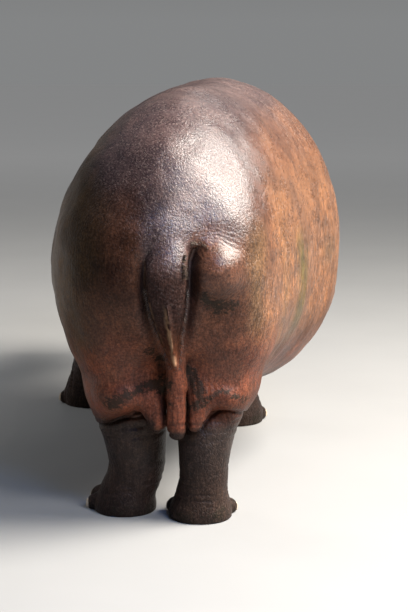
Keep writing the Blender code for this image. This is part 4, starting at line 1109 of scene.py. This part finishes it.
def grain(p):
    """Place across and along the lie of the fine wrinkles. They stand upright and part round the
    right sit bone as water round a stone."""
    x, y, z = p.T
    bx, bz, big = 0.150, 0.925, 0.075
    dx, dz = x - bx, z - bz
    r2 = np.maximum(dx * dx + dz * dz, big * big)
    rear = step(y, 0.10, -0.05)
    across = dx * (1 - rear * big * big / r2)
    along = dz * (1 + rear * big * big / r2)
    return np.stack([across, y, along], 1)


for name, values in markings(skin_points, skin_normals).items():
    attribute(body_skin, name, values)
attribute(body_skin, "grain", grain(skin_points))


def hollow(p, n, reach):
    """How much of the room in front of each point is shut in: 0 on open skin, 1 deep in a fold."""
    return np.clip(1.0 - skin(p + n * reach) / reach, 0, 1)


# painted shade: how shut in each point is, near and farther off, darkens it along with the crease floors
shut = np.clip(0.50 * step(hollow(skin_points, skin_normals, 0.022), 0.20, 0.95)
               + 0.32 * step(hollow(skin_points, skin_normals, 0.070), 0.20, 0.95), 0, 1)
attribute(body_skin, "crease_shade_and_dirt", np.clip(np.maximum(dark, shut), 0, 1))
attribute(body_skin, "place", skin_points)


# ---------------------------------------------------------------- materials
class Nodes:
    """Short words for building a material's node tree."""

    def __init__(self, name):
        self.mat = bpy.data.materials.new(name)
        self.mat.use_nodes = True
        self.tree = self.mat.node_tree
        self.shader = self.tree.nodes["Principled BSDF"]

    def new(self, kind, **props):
        node = self.tree.nodes.new(kind)
        for k, val in props.items():
            setattr(node, k, val)
        return node

    def put(self, socket, value):
        if isinstance(value, bpy.types.NodeSocket):
            self.tree.links.new(value, socket)
        elif hasattr(socket.default_value, "__len__") and not hasattr(value, "__len__"):
            socket.default_value = [value] * len(socket.default_value)
        elif hasattr(value, "__len__") and len(value) == 3 and len(socket.default_value) == 4:
            socket.default_value = (*value, 1.0)
        else:
            socket.default_value = value

    def share(self, name):
        return self.new("ShaderNodeAttribute", attribute_name=name).outputs["Fac"]

    def vector(self, name):
        return self.new("ShaderNodeAttribute", attribute_name=name).outputs["Vector"]

    def math(self, op, a, b=0.0, c=0.0, clamp=False):
        node = self.new("ShaderNodeMath", operation=op, use_clamp=clamp)
        for s, val in zip(node.inputs, (a, b, c)):
            self.put(s, val)
        return node.outputs[0]

    def span(self, x, a, b, lo=0.0, hi=1.0, smooth=True):
        node = self.new("ShaderNodeMapRange", interpolation_type="SMOOTHSTEP" if smooth else "LINEAR", clamp=True)
        for s, val in zip(node.inputs, (x, a, b, lo, hi)):
            self.put(s, val)
        return node.outputs[0]

    def mix(self, fac, a, b, how="MIX"):
        node = self.new("ShaderNodeMix", data_type="RGBA", blend_type=how, clamp_factor=True)
        self.put(node.inputs[0], fac)
        self.put(node.inputs[6], a)
        self.put(node.inputs[7], b)
        return node.outputs[2]

    def stretch(self, vec, by):
        node = self.new("ShaderNodeVectorMath", operation="MULTIPLY")
        self.put(node.inputs[0], vec)
        self.put(node.inputs[1], by)
        return node.outputs[0]

    def noise(self, vec, scale, detail=3.0, rough=0.5, warp=0.0):
        node = self.new("ShaderNodeTexNoise")
        self.put(node.inputs["Vector"], vec)
        for k, val in (("Scale", scale), ("Detail", detail), ("Roughness", rough), ("Distortion", warp)):
            node.inputs[k].default_value = val
        return node.outputs["Fac"]

    def cells(self, vec, scale, feature="DISTANCE_TO_EDGE"):
        node = self.new("ShaderNodeTexVoronoi", feature=feature)
        self.put(node.inputs["Vector"], vec)
        node.inputs["Scale"].default_value = scale
        return node.outputs["Distance"]

    def bump(self, height, distance=0.001):
        node = self.new("ShaderNodeBump")
        node.inputs["Strength"].default_value = 1.0
        node.inputs["Distance"].default_value = distance
        self.put(node.inputs["Height"], height)
        self.put(self.shader.inputs["Normal"], node.outputs[0])

    def set(self, **values):
        for k, val in values.items():
            self.put(self.shader.inputs[k.replace("_", " ")], val)
        return self.mat


TONE = {
    "rump": (0.074, 0.032, 0.018), "back": (0.056, 0.036, 0.035), "flank": (0.150, 0.073, 0.035),
    "shade": (0.080, 0.048, 0.022), "red": (0.128, 0.041, 0.021), "leg": (0.022, 0.014, 0.011),
    "pink": (0.290, 0.135, 0.100), "mud": (0.013, 0.010, 0.006), "algae": (0.058, 0.049, 0.009),
}


def hide_material(name):
    g = Nodes(name)
    place, lie = g.vector("place"), g.vector("grain")
    blot = g.noise(place, 6.5, 4, 0.6)
    patch_ = g.noise(place, 21.0, 4, 0.6)
    fleck = g.noise(place, 120.0, 3, 0.6)
    # upright wrinkles, wavering, and the pebbled grain between them
    streak = g.noise(g.stretch(lie, (130.0, 118.0, 22.0)), 1.0, 3, 0.6, 0.25)
    long_streak = g.noise(g.stretch(lie, (26.0, 24.0, 3.2)), 1.0, 3, 0.6, 0.3)
    mid_streak = g.noise(g.stretch(lie, (54.0, 48.0, 15.0)), 1.0, 3, 0.6, 0.25)
    pebble = g.noise(place, 165.0, 2, 0.5, 0.6)
    net = g.cells(g.stretch(place, (1.0, 1.0, 0.7)), 62.0)
    upright = g.share("streak")

    col = g.mix(g.share("back"), TONE["rump"], TONE["back"])
    ragged = g.math("ADD", g.share("flank"), g.math("MULTIPLY", g.math("SUBTRACT", long_streak, 0.5), 0.5))
    col = g.mix(g.span(ragged, 0.05, 0.95), col, TONE["flank"])
    col = g.mix(g.share("shade"), col, TONE["shade"])
    col = g.mix(g.share("red"), col, TONE["red"])
    col = g.mix(g.math("MULTIPLY", g.share("pink"), g.span(patch_, 0.30, 0.65, 0.55, 1.0)), col, TONE["pink"])
    col = g.mix(g.share("leg"), col, TONE["leg"])
    # algae and dark upright stains
    moss = g.math("MULTIPLY", g.share("algae"), g.span(long_streak, 0.34, 0.52, 0.35, 1.0))
    col = g.mix(g.math("MULTIPLY", moss, 0.95), col, TONE["algae"])
    stain = g.math("MULTIPLY", upright, g.span(long_streak, 0.47, 0.30))
    col = g.mix(g.math("MULTIPLY", stain, 0.20), col, (0.055, 0.038, 0.026))
    # lighter and darker blotches, flecks and wrinkles
    tint = g.mix(g.span(blot, 0.32, 0.68), (0.72, 0.70, 0.74), (1.22, 1.16, 1.10))
    col = g.mix(1.0, col, tint, "MULTIPLY")
    tint = g.mix(g.span(patch_, 0.30, 0.70), (0.84, 0.83, 0.84), (1.15, 1.12, 1.09))
    col = g.mix(1.0, col, tint, "MULTIPLY")
    tint = g.mix(g.span(fleck, 0.36, 0.64), (0.68, 0.66, 0.67), (1.34, 1.31, 1.28))
    col = g.mix(1.0, col, tint, "MULTIPLY")
    lined = g.math("MULTIPLY", upright, g.math("MULTIPLY_ADD", g.share("flank"), 0.55, 0.45))
    tint = g.mix(g.span(streak, 0.34, 0.66), (0.52, 0.50, 0.49), (1.42, 1.37, 1.31))
    col = g.mix(lined, col, g.mix(1.0, col, tint, "MULTIPLY"))
    tint = g.mix(g.span(mid_streak, 0.34, 0.66), (0.79, 0.77, 0.76), (1.19, 1.18, 1.16))
    col = g.mix(lined, col, g.mix(1.0, col, tint, "MULTIPLY"))
    # painted highlight down the tail's keel and left rim
    col = g.mix(g.share("painted_keel_highlight"), col, (0.56, 0.32, 0.18))
    # painted glints: pale specks on the tops of the pebbled grain, most on the flank and the back
    painted_glint_share = g.math("MULTIPLY_ADD", g.share("flank"), 0.30, g.math("MULTIPLY_ADD", g.share("back"), 0.24, 0.06))
    col = g.mix(g.math("MULTIPLY", g.span(pebble, 0.55, 0.66), painted_glint_share), col, (0.34, 0.25, 0.21))
    # painted shade: the darkened places turn darker and cooler
    col = g.mix(g.math("MULTIPLY", g.share("painted_shade"), 0.9), col, g.mix(1.0, col, (0.37, 0.39, 0.41), "MULTIPLY"))
    # painted shade and dirt: the floor of every crease and hollow is darkened, as shade and dirt darken it
    col = g.mix(g.math("MULTIPLY", g.share("crease_shade_and_dirt"), 0.72), col, (0.018, 0.011, 0.009))
    # dried mud
    crumb = g.noise(g.stretch(place, (1.0, 1.0, 1.3)), 52.0, 5, 0.78)
    soil = g.math("MULTIPLY_ADD", g.math("SUBTRACT", crumb, 0.5), 3.4, g.share("mud"))
    soil = g.math("MULTIPLY", g.span(soil, 0.42, 0.85), g.span(g.share("mud"), 0.02, 0.12))
    col = g.mix(g.math("MULTIPLY", soil, 0.85), col, TONE["mud"])

    # relief in millimetres
    h = g.math("MULTIPLY", pebble, g.math("MULTIPLY_ADD", g.share("back"), 0.7, 1.35))
    h = g.math("MULTIPLY_ADD", g.math("MULTIPLY", streak, g.math("MULTIPLY_ADD", upright, 0.8, 0.2)), 1.9, h)
    h = g.math("MULTIPLY_ADD", fleck, 0.55, h)
    h = g.math("MULTIPLY_ADD", soil, 0.8, h)
    h = g.math("MULTIPLY_ADD", g.span(net, 0.0, 0.16), g.math("MULTIPLY_ADD", g.share("leg"), 0.55, 0.25), h)
    h = g.math("MULTIPLY_ADD", g.noise(place, 38.0, 2, 0.5), 1.0, h)
    g.bump(h)
    rough = g.math("MULTIPLY_ADD", g.share("wet"), -0.23, 0.52)
    rough = g.math("MULTIPLY_ADD", g.math("SUBTRACT", patch_, 0.5), 0.25, rough)
    rough = g.math("MULTIPLY_ADD", soil, 0.18, rough)
    rough = g.math("MULTIPLY_ADD", g.math("SUBTRACT", fleck, 0.5), 0.18, rough, clamp=True)
    gleam = g.math("MULTIPLY_ADD", g.share("wet"), 0.42, 0.13)
    # painted shade: the darkened places also lose most of their gloss
    gleam = g.math("MULTIPLY", gleam, g.math("MULTIPLY_ADD", g.share("painted_shade"), -0.82, 1.0))
    return g.set(Base_Color=col, Roughness=rough, IOR=1.45, Specular_IOR_Level=gleam)


def nail_material():
    g = Nodes("nail")
    place = g.vector("place")
    bands = g.noise(g.stretch(g.vector("grain"), (420.0, 60.0, 30.0)), 1.0, 3, 0.6)
    wear = g.noise(place, 70.0, 4, 0.6)
    col = g.mix(g.span(bands, 0.35, 0.65), (0.30, 0.22, 0.15), (0.52, 0.43, 0.32))
    col = g.mix(g.span(wear, 0.52, 0.72), col, (0.14, 0.09, 0.06))
    col = g.mix(g.share("edge"), col, (0.055, 0.036, 0.026))
    g.bump(g.math("MULTIPLY_ADD", wear, 0.4, g.math("MULTIPLY", bands, 0.5)))
    rough = g.math("MULTIPLY_ADD", wear, 0.35, 0.25)
    return g.set(Base_Color=col, Roughness=rough, IOR=1.5)


def eye_material():
    g = Nodes("eye")
    sep = g.new("ShaderNodeSeparateXYZ")
    g.put(sep.inputs[0], g.vector("iris"))
    a, b = sep.outputs[0], sep.outputs[1]
    wide = g.math("MULTIPLY", a, 0.62)
    pupil = g.math("SQRT", g.math("ADD", g.math("MULTIPLY", wide, wide), g.math("MULTIPLY", g.math("MULTIPLY", b, 1.35), g.math("MULTIPLY", b, 1.35))))
    rad = g.math("SQRT", g.math("ADD", g.math("MULTIPLY", a, a), g.math("MULTIPLY", b, b)))
    rays = g.noise(g.vector("rays"), 9.0, 4, 0.65)
    iris = g.mix(g.span(rays, 0.3, 0.7), (0.034, 0.014, 0.006), (0.095, 0.044, 0.018))
    iris = g.mix(g.span(rad, 0.44, 0.60), iris, (0.018, 0.008, 0.004))
    col = g.mix(g.span(pupil, 0.15, 0.20), (0.002, 0.002, 0.002), iris)
    white = g.mix(g.span(g.noise(g.vector("place"), 260.0, 3, 0.6), 0.4, 0.7), (0.16, 0.085, 0.060), (0.24, 0.09, 0.065))
    col = g.mix(g.span(rad, 0.60, 0.66), col, white)
    return g.set(Base_Color=col, Roughness=0.06, IOR=1.4, Coat_Weight=1.0, Coat_Roughness=0.03)


def bristle_material(name, dark_col, light_col):
    g = Nodes(name)
    hue = g.noise(g.vector("place"), 60.0, 2, 0.5)
    col = g.mix(g.span(hue, 0.35, 0.65), dark_col, light_col)
    rough = g.math("MULTIPLY_ADD", hue, 0.3, 0.25)
    return g.set(Base_Color=col, Roughness=rough, IOR=1.5)


body_skin.data.materials.append(hide_material("hide"))
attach(body_skin, "root")
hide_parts("trunk", "neck", "head", "lower_jaw", "ear_left", "ear_right", "tail",
            *["leg_" + n for n in FEET], *["foot_" + n for n in FEET])


# ---------------------------------------------------------------- eyes
def add_eye(label, s):
    rows, cols = 40, 56
    th = np.linspace(0, pi, rows + 1)[1:-1]
    ph = np.linspace(0, 2 * pi, cols, endpoint=False)
    T, P = np.meshgrid(th, ph, indexing="ij")
    loc = np.stack([np.cos(T), np.sin(T) * np.cos(P), np.sin(T) * np.sin(P)], -1).reshape(-1, 3)
    loc = np.concatenate([loc, [[1, 0, 0], [-1, 0, 0]]])
    # the cornea stands a little proud of the ball
    bulge = 1.0 + 0.030 * step(loc[:, 0], 0.72, 0.92)
    q = EYE + (loc * bulge[:, None] * (EYE_R - 0.0002)) @ EYE_AXES.T
    pts = from_head(q * np.array([s, 1, 1]))
    n = len(th)
    faces = []
    for i in range(n - 1):
        for j in range(cols):
            k = (j + 1) % cols
            faces += [(i * cols + j, i * cols + k, (i + 1) * cols + k), (i * cols + j, (i + 1) * cols + k, (i + 1) * cols + j)]
    top, bottom = n * cols, n * cols + 1
    for j in range(cols):
        k = (j + 1) % cols
        faces += [(top, k, j), (bottom, (n - 1) * cols + j, (n - 1) * cols + k)]
    faces = np.array(faces)
    if s < 0:
        faces = faces[:, ::-1]
    ob = new_mesh("eyeball_" + label, to_row(pts), faces)
    attribute(ob, "iris", loc[:, [1, 2, 0]])
    ang = np.arctan2(loc[:, 2], loc[:, 1])
    attribute(ob, "rays", np.stack([np.cos(ang), np.sin(ang), 0.15 * loc[:, 0]], 1))
    attribute(ob, "place", pts)
    ob.data.materials.append(eye_mat)
    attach(ob, "root")
    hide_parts("eye_" + label)


eye_mat = eye_material()
add_eye("right", 1)
add_eye("left", -1)


# ---------------------------------------------------------------- nails
def add_nails(name):
    """The four blunt nails of a foot, each a domed plate on the front of its toe."""
    rows, cols = 12, 14
    verts, faces, grain_, edge_ = [], [], [], []
    for k, (a, b, ra, rb, d) in enumerate(toes(name)):
        up = np.array([0, 0, 1.0])
        side = np.cross(d, up)
        base = sum(len(x) for x in verts)
        S, T = np.meshgrid(np.linspace(-1, 1, cols + 1), np.linspace(0, 1, rows + 1))
        s, t = S.ravel(), T.ravel()
        half = 0.78 * np.sqrt(np.clip(1 - (0.93 * t) ** 2.4, 0.02, 1)) * (1.0 - 0.10 * (1 - t) ** 2)
        az, el = s * half, -0.42 + 1.12 * t - 0.10 * s * s * t
        ray = (np.cos(el) * np.cos(az))[:, None] * d + (np.cos(el) * np.sin(az))[:, None] * side + np.sin(el)[:, None] * up
        rim = np.minimum(1 - np.abs(s), (1 - t) * 1.3)
        lift = 0.0035 * step(rim, 0.0, 0.30) - 0.0020 + 0.0022 * (1 - t) ** 2
        outer = b + ray * (rb + lift)[:, None]
        inner = b + ray * (rb - 0.0050)
        verts += [outer, inner]
        n = len(outer)
        w = cols + 1
        quads = []
        for i in range(rows):
            for j in range(cols):
                p0 = i * w + j
                quads.append((p0, p0 + 1, p0 + w + 1, p0 + w))
                quads.append((n + p0, n + p0 + w, n + p0 + w + 1, n + p0 + 1))
        loop = [j for j in range(cols + 1)] + [i * w + cols for i in range(1, rows + 1)] + \
               [rows * w + j for j in range(cols - 1, -1, -1)] + [i * w for i in range(rows - 1, 0, -1)]
        for p0, p1 in zip(loop, loop[1:] + loop[:1]):
            quads.append((p1, p0, n + p0, n + p1))
        faces.append(np.array(quads) + base)
        e = 1 - step(rim, 0.0, 0.16)
        grain_ += [np.stack([s * 0.03, t * 0.03 + k, t * 0.01], 1)] * 2
        edge_ += [e, np.ones(n)]
    verts = np.concatenate(verts)
    verts[:, 2] = np.maximum(verts[:, 2], SOLE + 0.001)
    faces = np.concatenate(faces)
    # faces point outwards
    v3 = verts[faces]
    volume = (np.cross(v3[:, 0], v3[:, 1]) * v3[:, 2]).sum() + (np.cross(v3[:, 0], v3[:, 2]) * v3[:, 3]).sum()
    if volume < 0:
        faces = faces[:, ::-1]
    ob = new_mesh("nails_" + name, to_row(verts), faces)
    attribute(ob, "grain", np.concatenate(grain_))
    attribute(ob, "edge", np.clip(np.concatenate(edge_), 0, 1))
    attribute(ob, "place", verts)
    ob.data.materials.append(nail_mat)
    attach(ob, "root")


nail_mat = nail_material()
for foot in FEET:
    add_nails(foot)


# ---------------------------------------------------------------- bristles
rng = np.random.default_rng(20)


def unit(a):
    return a / np.maximum(np.sqrt((a ** 2).sum(-1, keepdims=True)), 1e-9)


def bristles(name, roots, out, lie, length, radius, spread, material, chart):
    """Stiff hairs as closed tapered solids: one per root, leaving along out and bending to lie.
    chart gives each root's place on an unrolled map of the skin there, where its colour is kept."""
    n = len(roots)
    sides, cuts = 3, (0.0, 0.35, 0.7, 1.0)
    length = length * rng.uniform(0.6, 1.15, n)
    lie = unit(lie + spread * rng.normal(size=(n, 3)))
    out = unit(out + 0.5 * spread * rng.normal(size=(n, 3)))
    ref = unit(np.cross(out, rng.normal(size=(n, 3))))
    ref2 = np.cross(out, ref)
    verts, t_of = [], []
    for c in cuts:
        centre = roots + length[:, None] * (c * (1 - 0.5 * c) * out + 0.5 * c * c * lie) - out * 0.0012 * (1 if c == 0 else 0)
        r = radius * (1 - 0.88 * c)
        for k in range(sides):
            a = 2 * pi * k / sides
            verts.append(centre + r * (cos(a) * ref + sin(a) * ref2))
            t_of.append(np.full(n, c))
    verts = np.stack(verts, 1)                      # n, rings * sides, 3
    m = verts.shape[1]
    tri = []
    for i in range(len(cuts) - 1):
        for k in range(sides):
            a, b = i * sides + k, i * sides + (k + 1) % sides
            tri += [(a, b, b + sides), (a, b + sides, a + sides)]
    last = (len(cuts) - 1) * sides
    tri += [(2, 1, 0), (last, last + 1, last + 2)]
    tri = np.array(tri)
    faces = (tri[None] + (np.arange(n) * m)[:, None, None]).reshape(-1, 3)
    pts = verts.reshape(-1, 3)
    ob = new_mesh(name, to_row(pts), faces)
    uv = np.repeat(chart(roots), m, 0)
    ring = np.tile(np.repeat(np.array(cuts), sides), n)
    turn = np.tile(np.tile(np.arange(sides) / sides, len(cuts)), n)
    uv = uv + 0.003 * np.stack([turn, ring], 1) - 0.0015
    layer = ob.data.uv_layers.new(name="OFBake")
    layer.data.foreach_set("uv", np.clip(uv, 0.001, 0.999)[faces.ravel()].astype(np.float32).ravel())
    attribute(ob, "place", np.repeat(roots, m, 0))
    ob.data.materials.append(material)
    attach(ob, "root")
    return ob


def head_chart(p):
    """The skin of the head unrolled about the head's long axis."""
    q = to_head(p)
    return np.stack([0.5 + 0.48 * np.arctan2(q[:, 0], q[:, 2]) / pi, 0.04 + 0.92 * np.clip((q[:, 1] + 0.20) / 1.0, 0, 1)], 1)


def rump_chart(p):
    """The skin of the rump and tail, laid flat as seen along the body and spread by its depth."""
    return np.stack([0.5 + (p[:, 0] + 0.25 * (p[:, 1] + 0.33)) * 1.4, 0.05 + 0.9 * np.clip((p[:, 2] - 0.45) / 0.75, 0, 1)], 1)


dark_hair = bristle_material("dark_bristle", (0.020, 0.014, 0.010), (0.060, 0.040, 0.028))
pale_hair = bristle_material("pale_bristle", (0.10, 0.070, 0.045), (0.24, 0.18, 0.12))
now = skin_points - skin_normals * (deep * sole)[:, None]


def on_skin(p):
    for _ in range(8):
        p = settle(skin, p, 0.02)
    return p, unit(gradient(skin, p, 0.002))


# whiskers on the lips, a few from each pit
q = to_head(now)
m = mirror(q)
lip = step(m[:, 1], 0.46, 0.56) * step(m[:, 2], 0.085, 0.02)
lip = lip * (to_head(now)[:, 1] > 0.4)
ids = np.nonzero(lip > 0.2)[0]
pick = rng.choice(ids, min(150, len(ids)), replace=False)
roots = np.repeat(now[pick], 3, 0) + rng.normal(size=(3 * len(pick), 3)) * 0.0016
nrm = np.repeat(skin_normals[pick], 3, 0)
snout = unit(from_head((0, 1, 0)) - from_head((0, 0, 0)))
lie = nrm * 0.9 - snout * 0.25 + np.array([0, 0, -0.5])
bristles("whiskers", roots, nrm, lie, 0.020, 0.00055, 0.25, pale_hair, head_chart)

# fringes of the ears
for label, s in (("right", 1), ("left", -1)):
    n = 220
    th = rng.uniform(-2.5, 2.5, n)
    across, axis, face_ = EAR_AXES[:, 1], EAR_AXES[:, 0], EAR_AXES[:, 2]
    ring = EAR_BASE + axis * (0.077 + 0.056 * np.cos(th))[:, None] + across * (0.043 * np.sin(th))[:, None] + face_ * rng.uniform(0.002, 0.012, (n, 1))
    outw = axis * np.cos(th)[:, None] * 0.8 + across * np.sin(th)[:, None] + face_ * 0.25
    p, nr = on_skin(from_head(ring * np.array([s, 1, 1])))
    o = unit((outw * np.array([s, 1, 1])) @ HEAD_AXES.T)
    bristles("ear_fringe_" + label, p, unit(nr + o), o + 0.3 * nr, 0.012, 0.00045, 0.25, pale_hair, head_chart)

# both edges and the tip of the tail
n = 420
share = rng.uniform(0.50, 1.0, n) ** 0.8
share = np.minimum(share, 1.0)
cum = np.concatenate([[0], np.cumsum(np.sqrt((np.diff(TAIL, axis=0) ** 2).sum(1)))])
cum /= cum[-1]
centre = np.stack([np.interp(share, cum, TAIL[:, i]) for i in range(3)], 1)
sgn = rng.choice([-1.0, 1.0], n)
edge_pt = centre + np.stack([sgn * TAIL_W(share) * 0.96, rng.normal(size=n) * 0.004 - 0.004, np.zeros(n)], 1)
p, nr = on_skin(edge_pt)
keep = np.abs(p - edge_pt).max(1) < 0.03
p, nr, sgn = p[keep], nr[keep], sgn[keep]
out = unit(nr + np.stack([0.8 * sgn, -0.3 + 0 * sgn, -0.4 + 0 * sgn], 1))
lie = np.stack([0.35 * sgn, -0.12 + 0 * sgn, -1.0 + 0 * sgn], 1)
bristles("tail_bristles", p, out, lie, 0.020, 0.00060, 0.22, dark_hair, rump_chart)

# short stiff hairs that lean over the crease beside the tail's root
line = np.array([[c[0], c[1]] for c in CREASE_RIGHT[:5]])
seg = np.concatenate([[0], np.cumsum(np.sqrt((np.diff(line, axis=0) ** 2).sum(1)))])
n = 240
s_ = rng.uniform(0.015, 0.80 * seg[-1], n)
lx, lz = np.interp(s_, seg, line[:, 0]), np.interp(s_, seg, line[:, 1])
ex, ez = np.interp(s_ + 0.004, seg, line[:, 0]) - lx, np.interp(s_ + 0.004, seg, line[:, 1]) - lz
en = np.maximum(np.hypot(ex, ez), 1e-9)
# the tail's side of the line: the edge runs leftwards, then down, so that side is up and then left
nx, nz = ez / en, -ex / en
off = rng.uniform(0.010, 0.024, n)
start = np.stack([lx + nx * off, np.full(n, -0.40), lz + nz * off], 1)
p, nr = on_skin(start)
good = (np.hypot(p[:, 0] - start[:, 0], p[:, 2] - start[:, 2]) < 0.025)
p, nr, nx, nz = p[good], nr[good], nx[good], nz[good]
lie = np.stack([-nx, 0 * nx - 0.15, -nz], 1)
brown_hair = bristle_material("brown_bristle", (0.040, 0.028, 0.020), (0.125, 0.090, 0.062))
bristles("rump_fringe", p, unit(nr + 1.0 * lie), lie, 0.017, 0.00065, 0.16, brown_hair, rump_chart)


# ---------------------------------------------------------------- floor, light and camera
floor = new_mesh("floor", [(-43, -43, 0), (43, -43, 0), (43, 43, 0), (-43, 43, 0)], [(0, 1, 2, 3)])
g = Nodes("floor")
geo = g.new("ShaderNodeNewGeometry").outputs["Position"]
grime = g.noise(geo, 1.3, 4, 0.6)
tone = g.mix(grime, (0.245, 0.245, 0.24), (0.275, 0.273, 0.268))
# past the lamps' reach the floor glows faintly, so it stays pale to the horizon on every side
reach = g.new("ShaderNodeVectorMath", operation="LENGTH")
g.put(reach.inputs[0], geo)
glow = g.span(reach.outputs["Value"], 3.5, 17.0, 0.0, 0.188)
floor_mat = g.set(Base_Color=tone, Roughness=0.75, Emission_Color=(1.0, 0.97, 0.94), Emission_Strength=glow)
if hasattr(floor_mat, "cycles"):
    floor_mat.cycles.emission_sampling = "NONE"
floor.data.materials.append(floor_mat)

world = bpy.data.worlds.new("sky")
bpy.context.scene.world = world
world.use_nodes = True
sky = world.node_tree
up = sky.nodes.new("ShaderNodeSeparateXYZ")
ramp = sky.nodes.new("ShaderNodeValToRGB")
sky.links.new(sky.nodes.new("ShaderNodeTexCoord").outputs["Generated"], up.inputs[0])
sky.links.new(up.outputs[2], ramp.inputs[0])
sky.links.new(ramp.outputs[0], sky.nodes["Background"].inputs[0])
ramp.color_ramp.elements[0].position, ramp.color_ramp.elements[0].color = 0.0, (1.14, 1.16, 1.17, 1.0)
for at, grey in ((0.09, 0.80), (0.25, 0.48)):
    ramp.color_ramp.elements.new(at).color = (grey, grey, grey, 1.0)
ramp.color_ramp.elements[3].position, ramp.color_ramp.elements[3].color = 0.8, (0.62, 0.80, 1.0, 1.0)
sky.nodes["Background"].inputs[1].default_value = 0.20


def area(name, at, to, size, watts, color):
    """A soft lamp, placed and aimed in the animal's frame."""
    lamp = bpy.data.lights.new(name, "AREA")
    lamp.shape = "RECTANGLE"
    lamp.size, lamp.size_y = size
    lamp.energy = watts
    lamp.color = color
    ob = bpy.data.objects.new(name, lamp)
    bpy.context.scene.collection.objects.link(ob)
    ob.location = to_row(np.array(at, float))
    aim = Vector(to_row(np.array(to, float))) - ob.location
    ob.rotation_euler = aim.to_track_quat("-Z", "Y").to_euler()
    return ob


area("key", (4.65, -0.60, 6.10), (0.20, -0.10, 1.10), (4.2, 3.9), 2040, (1.0, 0.94, 0.86))
area("key_side", (5.6, 1.9, 4.6), (0.25, -0.05, 1.2), (2.0, 2.0), 300, (1.0, 0.95, 0.88))
area("low_key", (3.1, -3.9, 4.0), (0.20, -0.20, 1.10), (1.6, 1.2), 235, (1.0, 0.98, 0.97))
area("sheen", (1.6, -4.65, 4.5), (0.00, -0.3, 1.0), (1.2, 1.2), 112, (0.20, 0.42, 1.0))
area("front", (2.2, 8.6, 8.2), (0.0, 2.2, 0.7), (4.0, 3.0), 120, (1.0, 0.96, 0.92))
# lights the shaded side without a glint on its wet hide
area("fill", (-6.5, 5.0, 3.2), (0.0, 1.2, 0.7), (3.0, 3.0), 310, (1.0, 0.97, 0.94)).visible_glossy = False

cam = bpy.data.cameras.new("camera")
cam_ob = bpy.data.objects.new("camera", cam)
bpy.context.scene.collection.objects.link(cam_ob)
cam.sensor_width = 36.0
cam.lens = 36.0 * 1800 / 612
cam.clip_end = 200
cam_ob.location = to_row(np.array([0.12, -6.3, 1.75]))
cam_ob.rotation_euler = (radians(90 - 9), 0, radians(180))
bpy.context.scene.camera = cam_ob
bpy.context.scene.view_settings.view_transform = "Standard"
